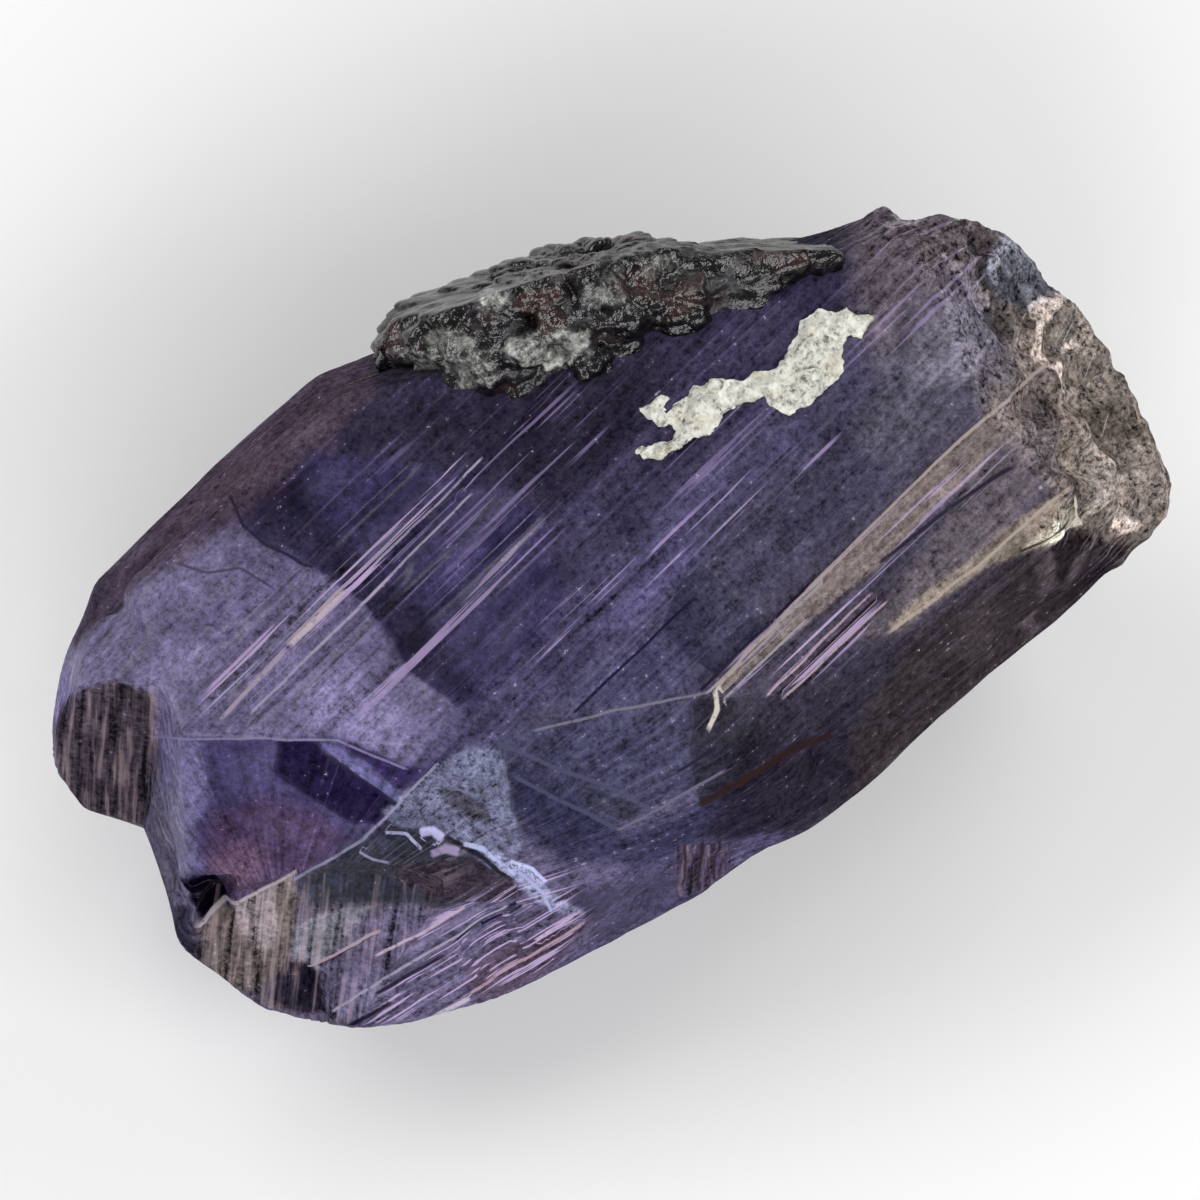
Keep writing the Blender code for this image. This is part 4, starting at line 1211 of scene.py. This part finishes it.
class Board:
    """One material's nodes."""

    def __init__(self, material):
        self.tree = material.node_tree

    def node(self, kind, settings=None, sockets=None, output=0):
        """Adds a node: its settings are set first, then values or links go to its sockets."""
        made = self.tree.nodes.new(kind)
        for name, value in (settings or {}).items():
            if name == "stops":
                ramp = made.color_ramp
                while len(ramp.elements) < len(value):
                    ramp.elements.new(0.5)
                for element, (place, colour) in zip(ramp.elements, value):
                    element.position = place
                    element.color = (*colour, 1.0)
            else:
                setattr(made, name, value)
        for name, value in (sockets or {}).items():
            self.feed(self.pick(made.inputs, name), value)
        return Wire(self, self.pick(made.outputs, output))

    def pick(self, sockets, name):
        if isinstance(name, int):
            return sockets[name]
        return next(s for s in sockets if name in (s.identifier, s.name))

    def feed(self, socket, value):
        if isinstance(value, Wire):
            self.tree.links.new(value.socket, socket)
        else:
            socket.default_value = value

    def mix(self, factor, first, second, blend="MIX"):
        """Colour between first and second by factor."""
        return self.node(
            "ShaderNodeMix",
            {"data_type": "RGBA", "blend_type": blend},
            {"Factor_Float": factor, "A_Color": paint(first), "B_Color": paint(second)},
            "Result_Color",
        )

    def between(self, value, low, high, to_low=0.0, to_high=1.0):
        """to_low below low, to_high above high, smooth between."""
        return self.node(
            "ShaderNodeMapRange",
            {"interpolation_type": "SMOOTHSTEP"},
            {"Value": value, "From Min": low, "From Max": high, "To Min": to_low, "To Max": to_high},
        )

    def noise(self, place, scale, detail=2.0, roughness=0.5, distortion=0.0):
        return self.node(
            "ShaderNodeTexNoise",
            {},
            {
                "Vector": place,
                "Scale": scale,
                "Detail": detail,
                "Roughness": roughness,
                "Distortion": distortion,
            },
            "Fac",
        )

    def stretch(self, place, factors):
        return self.node(
            "ShaderNodeVectorMath", {"operation": "MULTIPLY"}, {0: place, 1: factors}
        )

    def laid(self, place, axes, factors):
        """The place measured along three axes, each times its own factor."""
        parts = [
            self.node(
                "ShaderNodeVectorMath",
                {"operation": "DOT_PRODUCT"},
                {0: place, 1: tuple(float(v) for v in axis * factor)},
                "Value",
            )
            for axis, factor in zip(axes, factors)
        ]
        return self.node("ShaderNodeCombineXYZ", {}, dict(zip("XYZ", parts)))

    def kept(self, name, output="Fac"):
        """A value that the mesh keeps for each corner."""
        return self.node("ShaderNodeAttribute", {"attribute_name": name}, {}, output)

    def turned(self, place, degrees):
        """The place turned about Z."""
        return self.node(
            "ShaderNodeMapping", {}, {"Vector": place, "Rotation": (0.0, 0.0, radians(degrees))}
        )

    def mix_vectors(self, factor, first, second):
        """Vector between first and second by factor."""
        return self.node(
            "ShaderNodeMix",
            {"data_type": "VECTOR"},
            {"Factor_Float": factor, "A_Vector": first, "B_Vector": second},
            "Result_Vector",
        )

    def show(self, surface, volume=None):
        """Ends the material with this surface, and what light meets inside it."""
        output = self.tree.nodes.new("ShaderNodeOutputMaterial")
        self.feed(output.inputs["Surface"], surface)
        if volume is not None:
            self.feed(output.inputs["Volume"], volume)

    def bump(self, height, strength, distance, normal=None):
        sockets = {"Height": height, "Strength": strength, "Distance": distance}
        if normal is not None:
            sockets["Normal"] = normal
        return self.node("ShaderNodeBump", {}, sockets)


def paint(colour):
    if isinstance(colour, Wire) or len(colour) == 4:
        return colour
    return (*colour, 1.0)


def new_material(name):
    """An empty material, its board of nodes, and the position in millimetres from the core's foot."""
    material = bpy.data.materials.new(name)
    material.use_nodes = True
    material.node_tree.nodes.clear()
    board = Board(material)
    where = board.node("ShaderNodeTexCoord", {}, {}, "Object")
    offset = tuple(-CORE_FOOT)
    place = board.node(
        "ShaderNodeVectorMath",
        {"operation": "MULTIPLY_ADD"},
        {0: where, 1: (1 / MM, 1 / MM, 1 / MM), 2: offset},
    )
    return material, board, place


def crystal_material(settings):
    """A clear violet crystal under a frosted, striated skin."""
    material, board, place = new_material("Tanzanite")
    tint = board.kept("tint", "Color")
    clear_share = board.kept("clear")
    broken = board.kept("broken")
    ribbed = board.kept("ribbed")
    lined = board.kept("lined")
    along = board.stretch(board.kept("lanes", "Vector"), (0.025, 1.0, 1.0))
    turned = board.turned(place, RIB_TURN)
    down = board.stretch(turned, (1.0, 0.05, 0.06))
    front = line_axes(PRISM_FACES["striated_front"], FRONT_SLOPE)
    slanted = board.laid(place, front, (0.03, 1.0, 1.0))
    in_front = board.between(board.kept("front"), 0.45, 0.55)
    on_ribs = board.between(ribbed, 0.45, 0.55)
    grained = board.mix_vectors(in_front, along, slanted)
    grained = board.mix_vectors(on_ribs, grained, down)

    streaks = board.noise(grained, 8.0, 2.0, 0.75)
    threads = board.noise(grained, 16.0, 1.0, 0.6)
    grain = board.noise(place, 9.0, 3.0, 0.85)

    # Painted highlights: bright lines along the striae, mixed into the skin's colour
    lines = board.between(threads + lined * 0.09, 0.65, 0.70) * lined
    shade = 1.0 + (streaks - 0.5) * (1.3 + lined * 1.4 - broken * 0.9 + ribbed * 3.4)
    shade = shade + (grain - 0.5) * (3.4 + broken * 3.0)
    crisp = board.between(board.kept("light_edge") + (grain - 0.5) * 0.05, -0.01, 0.01)
    crisp_dark = board.between(board.kept("dark_edge") + (grain - 0.5) * 0.05, -0.01, 0.01)
    shade = shade * (1.0 + crisp * (CRISP_LIGHT - 1)) * (1.0 + crisp_dark * (CRISP_DARK - 1))
    shade = shade.most(0.08)
    value = board.node("ShaderNodeCombineColor", {}, {"Red": shade, "Green": shade, "Blue": shade})
    tint = board.mix(1.0, tint, settings.skin_tint, "MULTIPLY")
    skin = board.mix(1.0, tint, value, "MULTIPLY")
    highlight_line_colour = board.mix(lined, own_colour((108, 92, 158)), own_colour((204, 180, 222)))
    skin = board.mix(lines * settings.highlight_line_light, skin, highlight_line_colour)
    rust = board.between(streaks, 0.52, 0.66) * ribbed
    skin = board.mix(rust * 0.45, skin, own_colour((150, 130, 130)))
    specks = board.between(grain + threads * 0.3, 0.84, 0.88)
    skin = board.mix(specks * 0.6, skin, own_colour((188, 178, 196)))
    uneven = board.between(grain, 0.30, 0.48, 0.35, 0.95)
    for kind in ("dark", "light"):
        across = abs(board.kept(kind + "_side") + (grain - 0.5) * 0.8)
        stroke = board.between(across, 0.6, 1.4, 1.0, 0.0) * board.kept(kind + "_beside")
        skin = board.mix(stroke * uneven, skin, board.kept(kind + "_tint", "Color"))

    height = board.noise(grained, 10.0, 1.0, 0.7)
    normal = board.bump(height, 0.5, 0.04 * MM)
    rough = board.between(grain, 0.3, 0.7, 0.25, 0.5)
    glints = board.between(threads, 0.58, 0.66) * (0.04 + lined * 0.14 + broken * 0.6)
    frosted = board.node(
        "ShaderNodeBsdfPrincipled",
        {},
        {
            "Base Color": skin,
            "Roughness": rough,
            "IOR": settings.bending,
            "Specular IOR Level": 0.0,
            "Coat Weight": glints,
            "Coat Roughness": 0.12,
            "Coat IOR": settings.bending,
            "Normal": normal,
        },
    )
    clear = board.node(
        "ShaderNodeBsdfPrincipled",
        {},
        {
            "Base Color": (0.78, 0.76, 0.94, 1.0),
            "Roughness": 0.26,
            "IOR": settings.bending,
            "Transmission Weight": 1.0,
        },
    )
    cover = (1.0 - clear_share * settings.clearness).least(1.0)
    surface = board.node("ShaderNodeMixShader", {}, {0: cover, 1: clear, 2: frosted})
    depth = board.node(
        "ShaderNodeVolumeAbsorption",
        {},
        {"Color": (*settings.depth_colour, 1.0), "Density": settings.depth_density / MM},
    )
    board.show(surface, depth)
    return material


def matrix_material(settings):
    """Dark granular rock with rusty streaks, glints of graphite and pale calcite grains, and painted
    shade in the hollows between the grains.
    """
    material, board, place = new_material("Graphite matrix")
    calcite = board.kept("calcite")
    lump = board.kept("lump")
    grains = board.kept("grains")
    grain = board.noise(place, 9.0, 2.0, 0.8)
    tone = grains * 0.50 + (grain - 0.5) * 1.3 + 0.24
    base = board.node(
        "ShaderNodeValToRGB",
        {"stops": DARK_ROCK_STOPS},
        {"Fac": tone},
        "Color",
    )
    rust = board.between(board.noise(place, 1.3, 2.0), 0.56, 0.66)
    base = board.mix(rust * 0.55, base, settings.rust_colour)
    white = board.node("ShaderNodeValToRGB", {"stops": CALCITE_STOPS}, {"Fac": tone}, "Color")
    base = board.mix(calcite, base, white)
    # Painted shade: near-black where the grains' relief is low, in the hollows between them
    base = board.mix(board.between(lump, -0.16, 0.02, 0.8, 0.0), base, own_colour((12, 10, 13)))
    rough = board.between(grains, 0.3, 0.7, 0.16, 0.55)
    normal = board.bump(grain + grains * 0.8, 0.6, 0.04 * MM)
    stone = board.node(
        "ShaderNodeBsdfPrincipled",
        {},
        {"Base Color": base, "Roughness": rough, "Normal": normal, "IOR": 1.6},
    )
    board.show(stone)
    return material


def patch_material(settings):
    """Matt white crust with grey patches and cream spots."""
    material, board, place = new_material("Calcite crust")
    grain = board.noise(place, 10.0, 2.0, 0.8)
    crumbs = board.kept("crumbs")
    tone = (grain - 0.5) * 1.5 + crumbs * 0.4 + 0.36
    base = board.node("ShaderNodeValToRGB", {"stops": CRUST_STOPS}, {"Fac": tone}, "Color")
    cream = board.between(board.noise(place, 2.2, 2.0), 0.5, 0.65)
    base = board.mix(cream * 0.35, base, settings.cream_colour)
    normal = board.bump(grain, 0.7, 0.05 * MM)
    crust = board.node(
        "ShaderNodeBsdfPrincipled",
        {},
        {"Base Color": base, "Roughness": 0.7, "Specular IOR Level": 0.3, "Normal": normal},
    )
    board.show(crust)
    return material


def floor_material(colour):
    material, board, place = new_material("Pale floor")
    surface = board.node(
        "ShaderNodeBsdfPrincipled",
        {},
        {"Base Color": (*colour, 1.0), "Roughness": 0.6, "Specular IOR Level": 0.0},
    )
    board.show(surface)
    return material


# What a user can change


class CrystalSettings(bpy.types.PropertyGroup):
    stria_height: FloatProperty(
        name="Striae",
        description="Height of the striae",
        default=0.022 * MM,
        min=0.0,
        precision=6,
        unit="LENGTH",
    )
    hackle_height: FloatProperty(
        name="Hackle",
        description="How strongly the broken end is raised in flakes",
        default=0.28,
        min=0.0,
        max=1.0,
    )
    highlight_line_light: FloatProperty(
        name="Bright lines",
        description="Strength of the bright lines",
        default=0.75,
        min=0.0,
        max=1.0,
        subtype="FACTOR",
    )
    clearness: FloatProperty(
        name="Clearness",
        description="How far the clear areas show the inside",
        default=1.0,
        min=0.0,
        max=1.5,
    )
    bending: FloatProperty(
        name="Refractive index",
        description="How far the crystal bends light",
        default=1.69,
        min=1.0,
        max=2.5,
    )
    skin_tint: FloatVectorProperty(
        name="Skin tint",
        description="Colour that the whole frosted skin is multiplied by",
        default=(1.0, 1.0, 1.0),
        min=0.0,
        max=1.0,
        subtype="COLOR",
    )
    depth_colour: FloatVectorProperty(
        name="Depth colour",
        description="Colour of light that has passed through the crystal",
        default=(0.30, 0.26, 0.58),
        min=0.0,
        max=1.0,
        subtype="COLOR",
    )
    depth_density: FloatProperty(
        name="Depth",
        description="How strongly each millimetre of crystal colours light",
        default=0.6,
        min=0.0,
    )


class MatrixSettings(bpy.types.PropertyGroup):
    grain_height: FloatProperty(
        name="Grains",
        description="How strongly the matrix is raised in angular grains",
        default=0.85,
        min=0.0,
        max=1.5,
    )
    rust_colour: FloatVectorProperty(
        name="Rust",
        description="Colour of the rusty streaks",
        default=own_colour((70, 46, 42)),
        min=0.0,
        max=1.0,
        subtype="COLOR",
    )


class PatchSettings(bpy.types.PropertyGroup):
    crumb_height: FloatProperty(
        name="Crumbs",
        description="How strongly the white crust is raised in crumbs",
        default=1.0,
        min=0.0,
        max=1.5,
    )
    cream_colour: FloatVectorProperty(
        name="Cream",
        description="Colour of the cream spots on the white crust",
        default=own_colour((206, 196, 168)),
        min=0.0,
        max=1.0,
        subtype="COLOR",
    )


class StageSettings(bpy.types.PropertyGroup):
    floor_width: FloatProperty(
        name="Floor width", description="Width of the floor", default=2.4, min=0.1, unit="LENGTH"
    )
    floor_colour: FloatVectorProperty(
        name="Floor",
        description="Colour of the floor",
        default=(0.96, 0.96, 0.96),
        min=0.0,
        max=1.0,
        subtype="COLOR",
    )
    sky_light: FloatProperty(
        name="Sky", description="Strength of the light from all round", default=0.16, min=0.0
    )
    camera_turn: FloatProperty(
        name="Camera turn",
        description="Compass turn of the view",
        default=radians(PHOTO_TURN),
        subtype="ANGLE",
    )
    camera_rise: FloatProperty(
        name="Camera rise",
        description="Rise of the view above the floor",
        default=radians(PHOTO_RISE),
        subtype="ANGLE",
    )
    picture_width: FloatProperty(
        name="Picture width",
        description="Width of the view",
        default=PIXEL * PHOTO_SIZE * MM,
        min=MM,
        precision=5,
        unit="LENGTH",
    )
    lens: FloatProperty(
        name="Lens", description="Focal length", default=400.0, min=1.0, unit="CAMERA"
    )


# Operators


class MakeCrystal(bpy.types.Operator):
    """Make the crystal body with its growth, striae and broken end"""

    bl_idname = "tanzanite.make_crystal"
    bl_label = "Crystal"

    def execute(self, context):
        settings = context.scene.tanzanite_crystal
        piece = make_crystal_mesh(settings)
        piece.data.materials.append(crystal_material(settings))
        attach(piece, "root")
        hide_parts("tanzanite_crystal")
        return {"FINISHED"}


class MakeMatrix(bpy.types.Operator):
    """Make the dark matrix with its calcite grains"""

    bl_idname = "tanzanite.make_matrix"
    bl_label = "Matrix"

    def execute(self, context):
        settings = context.scene.tanzanite_matrix
        piece = make_matrix_mesh(settings)
        piece.data.materials.append(matrix_material(settings))
        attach(piece, "root")
        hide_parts("graphite_matrix")
        return {"FINISHED"}


class MakePatch(bpy.types.Operator):
    """Make the white crust on the top"""

    bl_idname = "tanzanite.make_patch"
    bl_label = "White patch"

    def execute(self, context):
        settings = context.scene.tanzanite_patch
        piece = make_patch_mesh(settings)
        piece.data.materials.append(patch_material(settings))
        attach(piece, "root")
        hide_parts("calcite_patch")
        return {"FINISHED"}


class MakeStage(bpy.types.Operator):
    """Make the floor, the lights and the camera"""

    bl_idname = "tanzanite.make_stage"
    bl_label = "Floor, lights and camera"

    def execute(self, context):
        settings = context.scene.tanzanite_stage
        make_floor(settings)
        make_lights(settings)
        make_camera(settings)
        return {"FINISHED"}


def make_floor(settings):
    """A square sheet just under the stone's foot."""
    half, z = settings.floor_width / 2, -0.02 * MM
    corners = np.array(((-half, -half, z), (half, -half, z), (half, half, z), (-half, half, z)))
    mesh = bpy.data.meshes.new("floor")
    mesh.from_pydata(corners.tolist(), [], [(0, 1, 2, 3)])
    floor = bpy.data.objects.new("floor", mesh)
    bpy.context.scene.collection.objects.link(floor)
    mesh.materials.append(floor_material(settings.floor_colour))


# Soft boxes: name, compass turn and rise seen from the stone, distance, width, height and power
SOFT_BOXES = (
    ("left_box", 215, 34, 0.16, 0.12, 0.10, 0.125),
    ("back_box", 100, 44, 0.16, 0.14, 0.06, 0.115),
    ("front_box", -80, 40, 0.16, 0.14, 0.06, 0.100),
    ("right_box", 10, 34, 0.18, 0.10, 0.08, 0.095),
)


def make_lights(settings):
    world = bpy.data.worlds.new("Sky")
    world.use_nodes = True
    sky = world.node_tree.nodes["Background"]
    sky.inputs["Color"].default_value = (1.0, 1.0, 1.0, 1.0)
    sky.inputs["Strength"].default_value = settings.sky_light
    bpy.context.scene.world = world
    for name, turn, rise, distance, width, height, power in SOFT_BOXES:
        light = bpy.data.lights.new(name, "AREA")
        light.shape = "RECTANGLE"
        light.size = width
        light.size_y = height
        light.energy = power
        t, r = radians(turn), radians(rise)
        towards = Vector((cos(t) * cos(r), sin(t) * cos(r), sin(r)))
        lamp = bpy.data.objects.new(name, light)
        lamp.location = towards * distance + Vector((0, 0, CORE_HEIGHT * MM))
        lamp.rotation_euler = towards.to_track_quat("Z", "Y").to_euler()
        bpy.context.scene.collection.objects.link(lamp)


def make_camera(settings):
    """A long lens, whose picture is picture_width wide at the core's depth."""
    right, up, back = view_axes(degrees(settings.camera_turn), degrees(settings.camera_rise))
    pixel = settings.picture_width / PHOTO_SIZE
    middle = PHOTO_SIZE / 2
    aim = (CORE + CORE_FOOT) * MM
    aim = aim + (right * (middle - PHOTO_CORE[0]) + up * (PHOTO_CORE[1] - middle)) * pixel
    data = bpy.data.cameras.new("camera")
    data.lens = settings.lens
    data.sensor_width = 36.0
    distance = settings.picture_width / 2 / (data.sensor_width / 2 / data.lens)
    camera = bpy.data.objects.new("camera", data)
    camera.location = Vector(aim + back * distance)
    camera.rotation_euler = Vector(back).to_track_quat("Z", "Y").to_euler()
    data.clip_start = 0.01
    data.clip_end = 10.0
    bpy.context.scene.collection.objects.link(camera)
    bpy.context.scene.camera = camera
    bpy.context.scene.view_settings.view_transform = "Standard"


class TanzanitePanel(bpy.types.Panel):
    bl_idname = "VIEW3D_PT_tanzanite"
    bl_label = "Rough tanzanite"
    bl_space_type = "VIEW_3D"
    bl_region_type = "UI"
    bl_category = "Tanzanite"

    def draw(self, context):
        for operator in OPERATORS:
            self.layout.operator(operator.bl_idname)
        for group_name in GROUPS:
            group = getattr(context.scene, group_name)
            for name in group.__annotations__:
                self.layout.prop(group, name)


OPERATORS = (MakeCrystal, MakeMatrix, MakePatch, MakeStage)
GROUPS = {
    "tanzanite_crystal": CrystalSettings,
    "tanzanite_matrix": MatrixSettings,
    "tanzanite_patch": PatchSettings,
    "tanzanite_stage": StageSettings,
}
CLASSES = (*GROUPS.values(), *OPERATORS, TanzanitePanel)


def register():
    for cls in CLASSES:
        bpy.utils.register_class(cls)
    for name, group in GROUPS.items():
        setattr(bpy.types.Scene, name, PointerProperty(type=group))


def unregister():
    for name in GROUPS:
        delattr(bpy.types.Scene, name)
    for cls in reversed(CLASSES):
        bpy.utils.unregister_class(cls)


def main():
    register()
    bpy.ops.tanzanite.make_crystal()
    bpy.ops.tanzanite.make_matrix()
    bpy.ops.tanzanite.make_patch()
    bpy.ops.tanzanite.make_stage()


if __name__ == "__main__":
    main()
